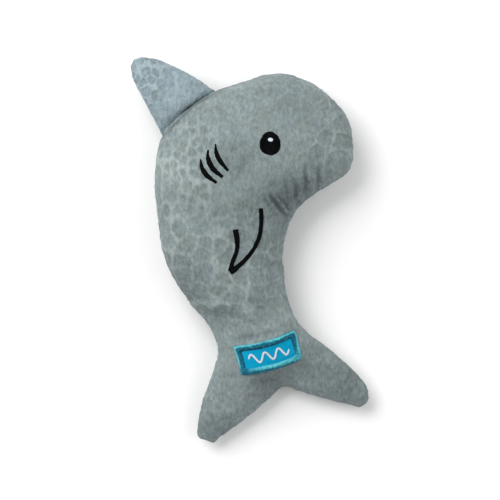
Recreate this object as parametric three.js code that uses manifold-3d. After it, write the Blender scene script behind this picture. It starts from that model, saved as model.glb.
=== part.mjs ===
// A stuffed plush shark lying on its left side: two fleece panels sewn together round the outline and
// filled, a separately stuffed dorsal fin sewn into the back seam, satin-stitch features, a bordered
// label on the tail and a squeaker between the two wads of belly stuffing.
// Millimetres. +Z is up, +Y runs from the tail to the head, +X from the back to the belly.
// The origin is under the middle of the toy, on the surface that it lies on.
import * as THREE from "three";
import { mergeVertices } from "three/addons/utils/BufferGeometryUtils.js";
import Module from "manifold-3d";

const wasm = await Module();
wasm.setup();

// Overall sizes. The outline below is drawn on a pattern sheet of patternLength by patternWidth.
const toyLength = 250;
const toyWidth = 155;
const patternLength = 250;
const patternWidth = 155;
const plumpness = 0.84; // 1 would be a full round tube, 0 two flat panels

// Cloth, stuffing and the gaps between pieces.
const pileThickness = 2.2; // panel over the crown
const bodySeam = { inset: 3, allowance: 1.8 }; // panel at the seam, and its edge turned inwards
const finSeam = { inset: 2, allowance: 1.3 };
const allowanceThickness = 0.9;
const panelGap = 0.3;
const fillClearance = 0.5;
const crownClearance = 0.8; // between the stuffing and a panel at the crown
const fillSetback = 1.4; // from the turned-in edge to the stuffing
const groundFlat = 3; // how far the underside is pressed flat where it lies

// Stitching.
const stitchDepth = 1;
const stitchSink = 0.2; // a stitch lies this far under the tips of the pile
const stitchClearance = 0.3;
const eyeWidth = 13.4;
const eyeHeight = 15.6;
const eyeTaper = 0.07; // the eye is this much narrower at the top than in the middle
const glintWidth = 3.5;
const glintHeight = 2.5;
const glintSeat = 0.7; // depth of the recess that the glint sits in
const gillWidth = 3.1;
const finStrokeWidth = 2.5;
const threadRadius = 0.35;
const threadStep = 5; // how far apart the corners of a modelled thread are

// Label on the tail.
const labelWidth = 41;
const labelHeight = 20.8;
const labelBorder = 4.6;
const labelBorderRise = 1.2;
const labelPatchRise = 0.3;
const labelMotifWidth = 1.3;
const labelMotifRise = 0.5;

// Joints.
const tailJointGap = 1;
const tailJointMargin = 1; // the joint's disc stands this far past the narrowest width of the tail
const hornTrim = 4; // takes the thin edges off the torso beside the disc
const finRootGap = 3; // from the back seam to the base of the fin
const joiningThreadRadius = 0.6;

// Squeaker.
const squeakerRadius = 16;
const squeakerHeight = 20;
const squeakerWall = 1.2;
const squeakerTravel = 5;
const squeakerSlideGap = 0.4;
const whistleRadius = 5;
const whistleHeight = 4.5;
const whistleBore = 1.6;
const reedThickness = 0.4;
const squeakerRoom = 1;

// The outline as ribs laid across the body from the nose to the tail's trailing edge: the end on the
// back, the end on the belly, how far the rib bows towards the head, and the height of the seam as a
// share of its height along the torso.
const bodyRibs = [
  { back: [65.8, 78.5], belly: [66.8, 58.5], bow: 1, lift: 1 },
  { back: [62.4, 88], belly: [63.3, 49.8], bow: 1, lift: 1 },
  { back: [52, 99.5], belly: [52.9, 42.7], bow: 0, lift: 1 },
  { back: [36.4, 110.3], belly: [41.4, 35.5], bow: 0, lift: 1 },
  { back: [16.3, 115.1], belly: [31.7, 27.5], bow: 0, lift: 1 },
  { back: [-3.6, 109.5], belly: [25.8, 17.9], bow: 0, lift: 1 },
  { back: [-23.2, 103], belly: [22.7, 6.9], bow: 0, lift: 1 },
  { back: [-41.2, 91.4], belly: [21.4, -4.1], bow: 0, lift: 1 },
  { back: [-56.9, 75], belly: [22.1, -13.3], bow: 0, lift: 1 },
  { back: [-61.8, 48], belly: [23, -22.3], bow: 0, lift: 1 },
  { back: [-60.1, 21], belly: [24.8, -31.4], bow: 0, lift: 1 },
  { back: [-55, -7.4], belly: [27.5, -39.8], bow: 0, lift: 0.96 },
  { back: [-41.8, -31.4], belly: [32.4, -48.1], bow: 0, lift: 0.88 },
  { back: [-28.6, -47.4], belly: [39.7, -55], bow: 0.6, lift: 0.8 },
  { back: [-21.3, -64.4], belly: [49.4, -62.2], bow: 2.6, lift: 0.72 },
  { back: [-26.1, -83.9], belly: [62, -72.8], bow: 6.5, lift: 0.64 },
  { back: [-31.8, -99.5], belly: [72.4, -83.2], bow: 11, lift: 0.56 },
  { back: [-34.4, -112.9], belly: [77.3, -91.4], bow: 16.3, lift: 0.5 },
  { back: [-33.6, -121], belly: [76.7, -97.6], bow: 20.8, lift: 0.46 },
  { back: [-24.6, -125], belly: [70.2, -101.8], bow: 23.6, lift: 0.44 },
];
const endBunching = 0.88; // how closely the grid's first and last ribs crowd together, 0 to 1
const bowApex = 0.54; // where along a rib its bow is greatest
const bowRound = 0.15; // how rounded the bow's corner is
const bowBelly = 0.72; // below 1 the bow's two arms curve outwards

// Ribs of the dorsal fin, from the seam to the tip: front edge, rear edge, bow towards the seam.
const finRibs = [
  { back: [-22.6, 104.3], belly: [-57.8, 75.8], bow: -1.2, lift: 1 },
  { back: [-30.8, 109.7], belly: [-62.1, 83.5], bow: 0, lift: 1 },
  { back: [-39.6, 114.9], belly: [-66.5, 92.1], bow: 0, lift: 1 },
  { back: [-49.4, 119.9], belly: [-71, 100.8], bow: 0, lift: 1 },
  { back: [-60.8, 124.7], belly: [-76.5, 110.6], bow: -1, lift: 1 },
  { back: [-70.6, 125], belly: [-77.7, 118.9], bow: -2.3, lift: 1 },
];

const bodyColumns = 34;
const bodyRows = 10;
const finColumns = 7;
const finRows = 8;

// Embroidery, in pattern coordinates.
const eyeCentre = [12.9, 68.3];
const glintCentre = [13, 70.5];
const gills = [
  { name: "front", points: [[-22, 67.9], [-20.1, 57.8], [-13.8, 50.7]] },
  { name: "middle", points: [[-26.9, 64], [-25.2, 54.1], [-17.8, 46.7]] },
  { name: "rear", points: [[-31.8, 58.2], [-29.2, 50], [-21.5, 43]] },
];
const pectoralFront = [[7, 26.7], [7.3, 17.4], [5.5, 7.4], [1.8, 0.1], [-4.3, -8.5], [-12.6, -13.8]];
const pectoralRear = [[-9.3, 13.1], [-8.2, 5.6], [-8.6, -0.5], [-10.5, -7.2], [-12.8, -13.8]];
const labelCentre = [11.3, -66.3];
const labelTurn = 15.2; // degrees
const labelSag = 2; // the label's long edges dip by this much in the middle
const squeakerCentre = [-14, 18];

// Where the head's stuffing meets the belly's, and the direction towards the head there.
const neckMiddle = [2, 65];
const neckDirection = [0.9, 0.43];

// The narrowest place of the tail, where it swings.
const stockBack = [-28, -48.8];
const stockBelly = [26, -35.8];

const colours = {
  fleece: 0x8a999b,
  finFleece: 0x98a8ab,
  fill: 0xf1f1ec,
  black: 0x111112,
  white: 0xf4f4f4,
  labelBlue: 0x0b93bd,
  labelCyan: 0x43b6c8,
  thread: 0x6d7a7d,
  plastic: 0xe9e4d6,
  whistle: 0xb9bdc0,
};
const group = new THREE.Group();

const scaleX = toyWidth / patternWidth;
const scaleY = toyLength / patternLength;
const onToy = ([x, y]) => new THREE.Vector3(x * scaleX, y * scaleY, 0);

// ---------------------------------------------------------------- grids and membranes

// A point on a rib drawing: u runs along the body over the splined ribs, v across a rib.
function ribDrawing(ribs) {
  const spline = (points) => new THREE.CatmullRomCurve3(points, false, "catmullrom", 0.5);
  const backEdge = spline(ribs.map((r) => onToy(r.back)));
  const bellyEdge = spline(ribs.map((r) => onToy(r.belly)));
  const shape = spline(ribs.map((r) => new THREE.Vector3(r.bow * scaleY, r.lift, 0)));
  const place = (u, v) => {
    const start = backEdge.getPoint(u);
    const along = bellyEdge.getPoint(u).sub(start);
    const headwards = new THREE.Vector3(-along.y, along.x, 0).normalize();
    const { x: bow, y: lift } = shape.getPoint(u);
    const side = v < bowApex ? (bowApex - v) / bowApex : (v - bowApex) / (1 - bowApex);
    const away = (Math.hypot(side, bowRound) - bowRound) / (Math.hypot(1, bowRound) - bowRound);
    const bend = 1 - away ** bowBelly;
    return { point: start.addScaledVector(along, v).addScaledVector(headwards, bow * bend), lift };
  };
  return { place, backEdge, bellyEdge };
}

// Lays a grid over a rib drawing, drawn in from the outline by inset and closer at the edges.
function ribGrid(ribs, columns, rows, from, inset) {
  const { place, backEdge, bellyEdge } = ribDrawing(ribs);
  const small = 1e-3;
  const rate = (u) => place(u, 0.5).point.distanceTo(place(u + small, 0.5).point) / small;
  const first = from + inset / rate(from);
  const last = 1 - inset / rate(1 - small);
  const grid = [];
  for (let i = 0; i <= columns; i++) {
    const even = i / columns;
    const bunched = (1 - Math.cos(Math.PI * even)) / 2;
    const u = first + (last - first) * (even + (bunched - even) * endBunching);
    const rib = place(u, 1).point.sub(place(u, 0).point);
    const share = (edge) => inset / new THREE.Vector3().crossVectors(rib, edge.getTangent(u)).length();
    const row = [];
    for (let j = 0; j <= rows; j++) {
      const spread = (1 - Math.cos((Math.PI * j) / rows)) / 2;
      row.push(place(u, share(backEdge) * (1 - spread) + (1 - share(bellyEdge)) * spread));
    }
    grid.push(row);
  }
  return grid;
}

const cells = (columns, rows) => {
  const list = [];
  for (let i = 0; i < columns; i++) for (let j = 0; j < rows; j++) list.push([i, j]);
  return list;
};

// The grid's edge as index pairs, anticlockwise seen from above.
function edgeLoop(columns, rows) {
  const loop = [];
  for (let i = 0; i < columns; i++) loop.push([i, 0]);
  for (let j = 0; j < rows; j++) loop.push([columns, j]);
  for (let i = columns; i > 0; i--) loop.push([i, rows]);
  for (let j = rows; j > 0; j--) loop.push([0, j]);
  return loop;
}

// Heights of a membrane stretched over the grid, held down at its edge and pushed up by a unit load on
// each unit of area, solved with cotangent weights.
function membrane(flat) {
  const columns = flat.length - 1;
  const rows = flat[0].length - 1;
  const id = (i, j) => i * (rows + 1) + j;
  const points = flat.flat();
  const links = points.map(() => new Map());
  const area = points.map(() => 0);
  for (const [i, j] of cells(columns, rows)) {
    const corners = [id(i, j), id(i + 1, j), id(i + 1, j + 1), id(i, j + 1)];
    for (const [a, b, c] of [[0, 1, 2], [0, 2, 3]].map((t) => t.map((k) => corners[k]))) {
      const double = new THREE.Vector3()
        .crossVectors(points[b].clone().sub(points[a]), points[c].clone().sub(points[a]))
        .length();
      for (const [p, q, r] of [[a, b, c], [b, c, a], [c, a, b]]) {
        area[p] += double / 6;
        const weight =
          points[p].clone().sub(points[r]).dot(points[q].clone().sub(points[r])) / (2 * double);
        links[p].set(q, (links[p].get(q) ?? 0) + weight);
        links[q].set(p, (links[q].get(p) ?? 0) + weight);
      }
    }
  }
  const onEdge = (k) => {
    const i = Math.floor(k / (rows + 1));
    const j = k % (rows + 1);
    return i === 0 || i === columns || j === 0 || j === rows;
  };
  const height = points.map(() => 0);
  const sweeps = 500;
  const overRelax = 1.7;
  for (let sweep = 0; sweep < sweeps; sweep++) {
    for (let k = 0; k < points.length; k++) {
      if (onEdge(k)) continue;
      let sum = area[k];
      let total = 0;
      for (const [other, weight] of links[k]) {
        sum += weight * height[other];
        total += weight;
      }
      height[k] += overRelax * (sum / total - height[k]);
    }
  }
  return flat.map((row, i) => row.map((_, j) => height[id(i, j)]));
}

// Height of a stuffed pillow over the grid: the root of the membrane's height, which gives an ellipse
// across a strip and a dome over a disc. Returns the heights and their greatest.
function pillow(flat) {
  const heights = membrane(flat).map((row) => row.map((h) => plumpness * Math.sqrt(Math.max(h, 0))));
  return { heights, peak: Math.max(...heights.flat()) };
}

// ---------------------------------------------------------------- solids

// A closed solid from points and triangles, turned the right way out.
function solid(points, triangles) {
  const make = (faces) =>
    new wasm.Manifold(
      new wasm.Mesh({
        numProp: 3,
        vertProperties: new Float32Array(points.flatMap((p) => [p.x, p.y, p.z])),
        triVerts: new Uint32Array(faces.flat()),
      }),
    );
  const made = make(triangles);
  return made.volume() > 0 ? made : make(triangles.map(([a, b, c]) => [a, c, b]));
}

// A three.js geometry as a solid.
function solidOf(geometry) {
  const bare = geometry.clone();
  bare.deleteAttribute("normal");
  bare.deleteAttribute("uv");
  const merged = mergeVertices(bare, 1e-3);
  const position = merged.getAttribute("position");
  const points = [];
  for (let i = 0; i < position.count; i++) {
    points.push(new THREE.Vector3().fromBufferAttribute(position, i));
  }
  const triangles = [];
  for (let i = 0; i < merged.index.count; i += 3) {
    triangles.push([merged.index.getX(i), merged.index.getX(i + 1), merged.index.getX(i + 2)]);
  }
  return solid(points, triangles);
}

function addMesh(name, made, colour, roughness = 0.95) {
  const { numProp, numVert, vertProperties, triVerts } = made.getMesh();
  const position = new Float32Array(numVert * 3);
  for (let i = 0; i < numVert; i++) {
    position.set(vertProperties.subarray(i * numProp, i * numProp + 3), i * 3);
  }
  const geometry = new THREE.BufferGeometry()
    .setAttribute("position", new THREE.BufferAttribute(position, 3))
    .setIndex(new THREE.BufferAttribute(new Uint32Array(triVerts), 1));
  geometry.computeVertexNormals();
  const material = new THREE.MeshStandardMaterial({ color: colour, roughness, metalness: 0 });
  const mesh = new THREE.Mesh(geometry, material);
  mesh.name = name;
  group.add(mesh);
}

// Two grids of points, one over the other, as triangles and joining walls. Edges are shared where
// sameEdge is true.
function closeSheets(upper, lower, sameEdge) {
  const columns = upper.length - 1;
  const rows = upper[0].length - 1;
  const points = upper.flat();
  const top = (i, j) => i * (rows + 1) + j;
  const onEdge = (i, j) => i === 0 || i === columns || j === 0 || j === rows;
  const under = new Map();
  lower.forEach((row, i) =>
    row.forEach((p, j) => {
      if (sameEdge && onEdge(i, j)) under.set(`${i},${j}`, top(i, j));
      else under.set(`${i},${j}`, points.push(p) - 1);
    }),
  );
  const bottom = (i, j) => under.get(`${i},${j}`);
  const triangles = [];
  for (const [i, j] of cells(columns, rows)) {
    triangles.push([top(i, j), top(i + 1, j), top(i + 1, j + 1)]);
    triangles.push([top(i, j), top(i + 1, j + 1), top(i, j + 1)]);
    triangles.push([bottom(i, j), bottom(i + 1, j + 1), bottom(i + 1, j)]);
    triangles.push([bottom(i, j), bottom(i, j + 1), bottom(i + 1, j + 1)]);
  }
  if (!sameEdge) {
    const loop = edgeLoop(columns, rows);
    loop.forEach(([i, j], k) => {
      const [m, n] = loop[(k + 1) % loop.length];
      triangles.push([top(i, j), bottom(i, j), bottom(m, n)]);
      triangles.push([top(i, j), bottom(m, n), top(m, n)]);
    });
  }
  return solid(points, triangles);
}

// The pieces of one pillow, made of a right panel above the seam and a left panel below it.
function stuffedShape(ribs, columns, rows, edge, seamHeightOf, onGround, from) {
  const drawn = (inset) => {
    const grid = ribGrid(ribs, columns, rows, from, inset);
    const flat = grid.map((row) => row.map((c) => c.point));
    return { grid, flat, ...pillow(flat) };
  };
  const outer = drawn(0);
  const inner = drawn(edge.inset);
  const turnedIn = drawn(edge.inset + edge.allowance);
  const filling = drawn(edge.inset + edge.allowance + fillSetback);
  const innerShare = (outer.peak - pileThickness - allowanceThickness) / inner.peak;
  const fillShare = (outer.peak - pileThickness - crownClearance) / filling.peak;

  // A sheet over a drawn grid. height(h, seam) gets the pillow's own height and the seam's.
  const sheet = ({ grid, heights }, height) =>
    grid.map((row, i) =>
      row.map(({ point, lift }, j) =>
        point.clone().setZ(height(heights[i][j], seamHeightOf(outer.peak) * lift)),
      ),
    );
  const floor = (z, least) => (onGround ? Math.max(z, least) : z);
  const loop = edgeLoop(columns, rows);

  // One panel: outer sheet, inner sheet, and the seam allowance turned inwards between them.
  const panel = (side) => {
    const base = panelGap / 2;
    const lip = base + allowanceThickness;
    const outerSheet = sheet(outer, (h, seam) => floor(seam + side * (base + h), 0));
    const innerSheet = sheet(inner, (h, seam) =>
      floor(seam + side * (lip + innerShare * h), pileThickness),
    );
    const lowEdge = sheet(turnedIn, (h, seam) => seam + side * base);
    const highEdge = sheet(turnedIn, (h, seam) => seam + side * lip);
    const points = [...outerSheet.flat(), ...innerSheet.flat()];
    const size = (columns + 1) * (rows + 1);
    const rings = [
      loop.map(([i, j]) => i * (rows + 1) + j),
      loop.map(([i, j]) => points.push(lowEdge[i][j]) - 1),
      loop.map(([i, j]) => points.push(highEdge[i][j]) - 1),
      loop.map(([i, j]) => size + i * (rows + 1) + j),
    ];
    const triangles = [];
    for (const [i, j] of cells(columns, rows)) {
      const a = i * (rows + 1) + j;
      const b = a + rows + 1;
      triangles.push([a, b, b + 1], [a, b + 1, a + 1]);
      triangles.push([size + a, size + b + 1, size + b], [size + a, size + a + 1, size + b + 1]);
    }
    for (let r = 0; r < rings.length - 1; r++) {
      loop.forEach((_, k) => {
        const next = (k + 1) % loop.length;
        const [a, b] = [rings[r], rings[r + 1]];
        triangles.push([a[k], b[k], b[next]], [a[k], b[next], a[next]]);
      });
    }
    return solid(points, triangles);
  };

  const fillLeast = pileThickness + fillClearance;
  const fill = closeSheets(
    sheet(filling, (h, seam) => seam + fillShare * h),
    sheet(filling, (h, seam) => floor(seam - fillShare * h, fillLeast)),
    true,
  );

  // The outer face of each panel, to lay stitching on.
  const faceMesh = (side) => {
    const face = sheet(outer, (h, seam) => floor(seam + side * (panelGap / 2 + h), 0));
    const geometry = new THREE.BufferGeometry().setFromPoints(face.flat());
    const index = cells(columns, rows).flatMap(([i, j]) => {
      const a = i * (rows + 1) + j;
      const b = a + rows + 1;
      return [a, b, b + 1, a, b + 1, a + 1];
    });
    geometry.setIndex(index);
    return new THREE.Mesh(geometry, new THREE.MeshBasicMaterial({ side: THREE.DoubleSide }));
  };

  // The line of a thread run through the seam allowance all the way round.
  const rise = panelGap / 2 + allowanceThickness + stitchClearance + threadRadius;
  const threadSheet = sheet(drawn(edge.inset + edge.allowance - threadRadius), (h, seam) => seam + rise);
  const threadLine = new THREE.CatmullRomCurve3(
    loop.map(([i, j]) => threadSheet[i][j]),
    true,
    "centripetal",
  );
  const threadPath = threadLine.getSpacedPoints(Math.round(threadLine.getLength() / threadStep));
  threadPath.pop();
  return { panel, fill, faceMesh, threadPath, peak: outer.peak };
}

// A round thread along a closed loop of points.
function closedThread(path, radius, sides) {
  const points = [];
  path.forEach((p, k) => {
    const before = path[(k + path.length - 1) % path.length];
    const after = path[(k + 1) % path.length];
    const forward = after.clone().sub(before).normalize();
    const up = new THREE.Vector3(0, 0, 1);
    const out = new THREE.Vector3().crossVectors(forward, up).normalize();
    for (let s = 0; s < sides; s++) {
      const angle = (2 * Math.PI * s) / sides;
      points.push(
        p.clone()
          .addScaledVector(out, radius * Math.cos(angle))
          .addScaledVector(up, radius * Math.sin(angle)),
      );
    }
  });
  const triangles = [];
  path.forEach((_, k) => {
    for (let s = 0; s < sides; s++) {
      const next = ((k + 1) % path.length) * sides;
      const turn = (s + 1) % sides;
      triangles.push([k * sides + s, next + s, next + turn]);
      triangles.push([k * sides + s, next + turn, k * sides + turn]);
    }
  });
  return solid(points, triangles);
}

// ---------------------------------------------------------------- body, tail and stuffing

const seamHeightOf = (peak) => peak - groundFlat;
const body = stuffedShape(bodyRibs, bodyColumns, bodyRows, bodySeam, seamHeightOf, true, 0);
const seamHeight = seamHeightOf(body.peak);

const faces = { right: body.faceMesh(1), left: body.faceMesh(-1) };
const ray = new THREE.Raycaster();
const above = 500;
// Height of a panel's outer face over a point.
function faceHeight(x, y, side) {
  ray.set(new THREE.Vector3(x, y, above), new THREE.Vector3(0, 0, -1));
  const hit = ray.intersectObject(faces[side])[0];
  return hit.point.z;
}

// A slab that follows a panel's face over a flat grid: its outer side stands rise above the pile.
function facing(flat, side, rise, thickness) {
  const out = side === "right" ? 1 : -1;
  const sheet = (offset) =>
    flat.map((row) =>
      row.map((p) => new THREE.Vector3(p.x, p.y, faceHeight(p.x, p.y, side) + out * offset)),
    );
  return closeSheets(sheet(rise), sheet(rise - thickness), false);
}

// Flat grids for stitched shapes. grow widens them all round, for the pocket that they sit in.
function strokeGrid(points, steps, halfWidth, grow) {
  const path = new THREE.CatmullRomCurve3(points.map(onToy), false, "centripetal");
  const grid = [];
  for (let i = 0; i <= steps; i++) {
    const t = i / steps;
    const tangent = path.getTangentAt(t);
    const across = new THREE.Vector3(-tangent.y, tangent.x, 0);
    const end = i === 0 ? -grow : i === steps ? grow : 0;
    const centre = path.getPointAt(t).addScaledVector(tangent, end);
    const half = halfWidth(t) + grow;
    grid.push([-1, 0, 1].map((s) => centre.clone().addScaledVector(across, s * half)));
  }
  return grid;
}

function ovalGrid(centre, width, height, taper, steps, grow) {
  const middle = onToy(centre);
  const grid = [];
  for (let i = 0; i <= steps; i++) {
    const row = [];
    for (let j = 0; j <= steps; j++) {
      const s = (2 * i) / steps - 1;
      const t = (2 * j) / steps - 1;
      const narrow = 1 - taper * t;
      const x = s * Math.sqrt(1 - (t * t) / 2) * (width / 2 + grow) * narrow;
      const y = t * Math.sqrt(1 - (s * s) / 2) * (height / 2 + grow);
      row.push(new THREE.Vector3(middle.x + x, middle.y + y, 0));
    }
    grid.push(row);
  }
  return grid;
}

function labelGrid(width, height, columns, rows, grow) {
  const middle = onToy(labelCentre);
  const turn = THREE.MathUtils.degToRad(labelTurn);
  const grid = [];
  for (let i = 0; i <= columns; i++) {
    const row = [];
    for (let j = 0; j <= rows; j++) {
      const s = (2 * i) / columns - 1;
      const t = (2 * j) / rows - 1;
      const x = s * (width / 2 + grow);
      const y = t * (height / 2 + grow) - labelSag * (1 - s * s);
      const p = new THREE.Vector3(x, y, 0).applyAxisAngle(new THREE.Vector3(0, 0, 1), turn);
      row.push(p.add(middle));
    }
    grid.push(row);
  }
  return grid;
}

// Tail joint: a disc as wide as the narrowest place of the tail, standing on end through the seam.
const stockStart = onToy(stockBack);
const stockEnd = onToy(stockBelly);
const tailPivot = stockStart.clone().add(stockEnd).multiplyScalar(0.5);
const tailJointRadius = stockStart.distanceTo(stockEnd) / 2 + tailJointMargin;
const acrossStock = stockEnd.clone().sub(stockStart).normalize();
const towardsTail = new THREE.Vector3(acrossStock.y, -acrossStock.x, 0);

// Everything on the tail's side of the joint, grown by a gap on the disc and starting start past it.
function tailSide(gap, start) {
  const tall = above;
  const disc = new THREE.CylinderGeometry(tailJointRadius + gap, tailJointRadius + gap, tall, 40);
  disc.rotateX(Math.PI / 2);
  disc.translate(tailPivot.x, tailPivot.y, 0);
  const beyond = new THREE.BoxGeometry(tall, tall, tall);
  beyond.rotateZ(Math.atan2(acrossStock.y, acrossStock.x));
  const middle = tailPivot.clone().addScaledVector(towardsTail, tall / 2 + start);
  beyond.translate(middle.x, middle.y, 0);
  return solidOf(disc).add(solidOf(beyond));
}
const tailZone = tailSide(0, 0);
const torsoCut = tailSide(tailJointGap, -hornTrim);

// Stitched features, the same on both sides. Each leaves a pocket in the pile.
const stitches = [];
const pockets = { right: [], left: [] };
const pocketHeadroom = 3;
function stitch(name, colour, grids, side) {
  const join = (parts) => parts.reduce((a, b) => a.add(b));
  const made = join(grids(0).map((g) => facing(g, side, -stitchSink, stitchDepth)));
  const depth = pocketHeadroom + stitchSink + stitchDepth + stitchClearance;
  pockets[side].push(
    join(grids(stitchClearance).map((g) => facing(g, side, pocketHeadroom, depth))),
  );
  stitches.push({ name, made, colour });
}

for (const side of ["right", "left"]) {
  const eye = (grow) => [ovalGrid(eyeCentre, eyeWidth, eyeHeight, eyeTaper, 8, grow)];
  stitch(`eye_stitch_${side}`, colours.black, eye, side);
  for (const { name, points } of gills) {
    const half = (t) => (gillWidth / 2) * (0.22 + 0.78 * Math.sin(Math.PI * t ** 0.8));
    const gill = (grow) => [strokeGrid(points, 8, half, grow)];
    stitch(`gill_stitch_${name}_${side}`, colours.black, gill, side);
  }
  const front = (grow) => strokeGrid(pectoralFront, 12, () => finStrokeWidth / 2, grow);
  const rear = (grow) => strokeGrid(pectoralRear, 8, () => finStrokeWidth / 2, grow);
  stitch(`pectoral_stitch_${side}`, colours.black, (grow) => [front(grow), rear(grow)], side);
}

// The glint is a small white patch let into the eye.
for (const side of ["right", "left"]) {
  const eye = stitches.find((s) => s.name === `eye_stitch_${side}`);
  const room = ovalGrid(glintCentre, glintWidth, glintHeight, 0, 4, stitchClearance);
  const depth = pocketHeadroom + stitchSink + glintSeat;
  eye.made = eye.made.subtract(facing(room, side, pocketHeadroom, depth));
  const glint = ovalGrid(glintCentre, glintWidth, glintHeight, 0, 4, 0);
  const thickness = glintSeat - stitchClearance;
  stitches.push({
    name: `eye_glint_${side}`,
    made: facing(glint, side, -stitchSink, thickness),
    colour: colours.white,
  });
}

// Label: a woven patch inside a satin-stitched border, with a plain wave worked on the patch.
const labelBed = stitchDepth;
const innerWidth = labelWidth - 2 * labelBorder;
const innerHeight = labelHeight - 2 * labelBorder;
const outerLabel = (grow, rise, depth) =>
  facing(labelGrid(labelWidth, labelHeight, 12, 6, grow), "right", rise, depth);
const innerLabel = (grow, rise, depth) =>
  facing(labelGrid(innerWidth, innerHeight, 10, 4, grow), "right", rise, depth);
pockets.right.push(
  outerLabel(stitchClearance, pocketHeadroom, pocketHeadroom + labelBed + stitchClearance),
);
const labelRing = outerLabel(0, labelBorderRise, labelBorderRise + labelBed).subtract(
  innerLabel(stitchClearance, labelBorderRise + 1, labelBorderRise + labelBed + 2),
);
const labelPatch = innerLabel(0, labelPatchRise, labelPatchRise + labelBed);
const waveLength = innerWidth * 0.84;
const waveRise = innerHeight * 0.27;
const waves = 3;
function waveGrid() {
  const steps = 24;
  const middle = onToy(labelCentre);
  const turn = THREE.MathUtils.degToRad(labelTurn);
  const place = (t) => {
    const x = (t - 0.5) * waveLength;
    const s = (2 * x) / labelWidth;
    const y = waveRise * Math.sin(2 * Math.PI * waves * t) - labelSag * (1 - s * s);
    return new THREE.Vector3(x, y, 0);
  };
  const grid = [];
  for (let i = 0; i <= steps; i++) {
    const t = i / steps;
    const tangent = place(t + 0.01).sub(place(t - 0.01)).normalize();
    const across = new THREE.Vector3(-tangent.y, tangent.x, 0);
    grid.push(
      [-1, 1].map((s) =>
        place(t)
          .addScaledVector(across, (s * labelMotifWidth) / 2)
          .applyAxisAngle(new THREE.Vector3(0, 0, 1), turn)
          .add(middle),
      ),
    );
  }
  return grid;
}
const motifTop = labelPatchRise + stitchClearance + labelMotifRise;
const labelMotif = facing(waveGrid(), "right", motifTop, labelMotifRise);

const threadChannel = (path) => closedThread(path, threadRadius + stitchClearance * 0.8, 4);
const cutPockets = (panel, side) => pockets[side].reduce((left, pocket) => left.subtract(pocket), panel);
const rightPanel = cutPockets(body.panel(1).subtract(threadChannel(body.threadPath)), "right");
const leftPanel = cutPockets(body.panel(-1), "left");
addMesh("torso_panel_right", rightPanel.subtract(torsoCut), colours.fleece);
addMesh("torso_panel_left", leftPanel.subtract(torsoCut), colours.fleece);
addMesh("tail_panel_right", rightPanel.intersect(tailZone), colours.fleece);
addMesh("tail_panel_left", leftPanel.intersect(tailZone), colours.fleece);
for (const { name, made, colour } of stitches) addMesh(name, made, colour, 0.6);
addMesh("label_patch", labelPatch, colours.labelBlue, 0.6);
addMesh("label_border", labelRing, colours.labelCyan, 0.5);
addMesh("label_wave", labelMotif, colours.white, 0.6);

const seamThread = closedThread(body.threadPath, threadRadius, 4);
addMesh("torso_seam_thread", seamThread.subtract(torsoCut), colours.thread);
addMesh("tail_seam_thread", seamThread.intersect(tailZone), colours.thread);

// ---------------------------------------------------------------- squeaker

const squeakerAt = onToy(squeakerCentre);
const squeakerFoot = seamHeight - squeakerHeight / 2;
const squeakerTop = squeakerFoot + squeakerHeight;
const roundSegments = 20;
// A solid of revolution about the squeaker's own axis from [radius, height] pairs.
function turned(profile) {
  const geometry = new THREE.LatheGeometry(
    profile.map(([r, z]) => new THREE.Vector2(r, z)),
    roundSegments,
  );
  geometry.rotateX(Math.PI / 2);
  geometry.translate(squeakerAt.x, squeakerAt.y, 0);
  return solidOf(geometry);
}
const cupInside = squeakerRadius - squeakerWall;
const cupHeight = squeakerHeight / 2;
const cupFloor = squeakerFoot + squeakerWall;
const cup = turned([
  [whistleBore, squeakerFoot],
  [squeakerRadius - squeakerWall, squeakerFoot],
  [squeakerRadius, squeakerFoot + squeakerWall],
  [squeakerRadius, squeakerFoot + cupHeight],
  [cupInside, squeakerFoot + cupHeight],
  [cupInside, cupFloor],
  [whistleBore, cupFloor],
  [whistleBore, squeakerFoot],
]);
const domeRadius = cupInside - squeakerSlideGap;
const domeFoot = cupFloor + squeakerTravel + squeakerSlideGap;
const domeInside = domeRadius - squeakerWall;
const domeCrown = squeakerTop - squeakerWall;
const domeCorner = domeRadius * 0.45;
const dome = turned([
  [0, squeakerTop],
  [domeRadius - domeCorner, squeakerTop],
  [domeRadius - domeCorner * 0.3, squeakerTop - domeCorner * 0.3],
  [domeRadius, squeakerTop - domeCorner],
  [domeRadius, domeFoot],
  [domeInside, domeFoot],
  [domeInside, squeakerTop - domeCorner],
  [domeInside - domeCorner * 0.6, domeCrown],
  [0, domeCrown],
]);
const whistleFoot = cupFloor + panelGap;
const whistleTop = whistleFoot + whistleHeight;
const whistle = turned([
  [whistleBore, whistleFoot],
  [whistleRadius, whistleFoot],
  [whistleRadius, whistleTop],
  [whistleBore, whistleTop],
  [whistleBore, whistleFoot],
]);
const reedFoot = whistleTop + panelGap;
const reed = turned([
  [0, reedFoot],
  [whistleRadius * 0.8, reedFoot],
  [whistleRadius * 0.8, reedFoot + reedThickness],
  [0, reedFoot + reedThickness],
]);
addMesh("squeaker_cup", cup, colours.plastic, 0.5);
addMesh("squeaker_dome", dome, colours.plastic, 0.5);
addMesh("squeaker_whistle", whistle, colours.whistle, 0.4);
addMesh("squeaker_reed", reed, colours.whistle, 0.4);

// Stuffing: a wad in the head, two round the squeaker, and one in the tail.
const recess = turned([
  [0, squeakerFoot - squeakerRoom],
  [squeakerRadius + squeakerRoom, squeakerFoot - squeakerRoom],
  [squeakerRadius + squeakerRoom, squeakerTop + squeakerRoom],
  [0, squeakerTop + squeakerRoom],
]);
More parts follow.
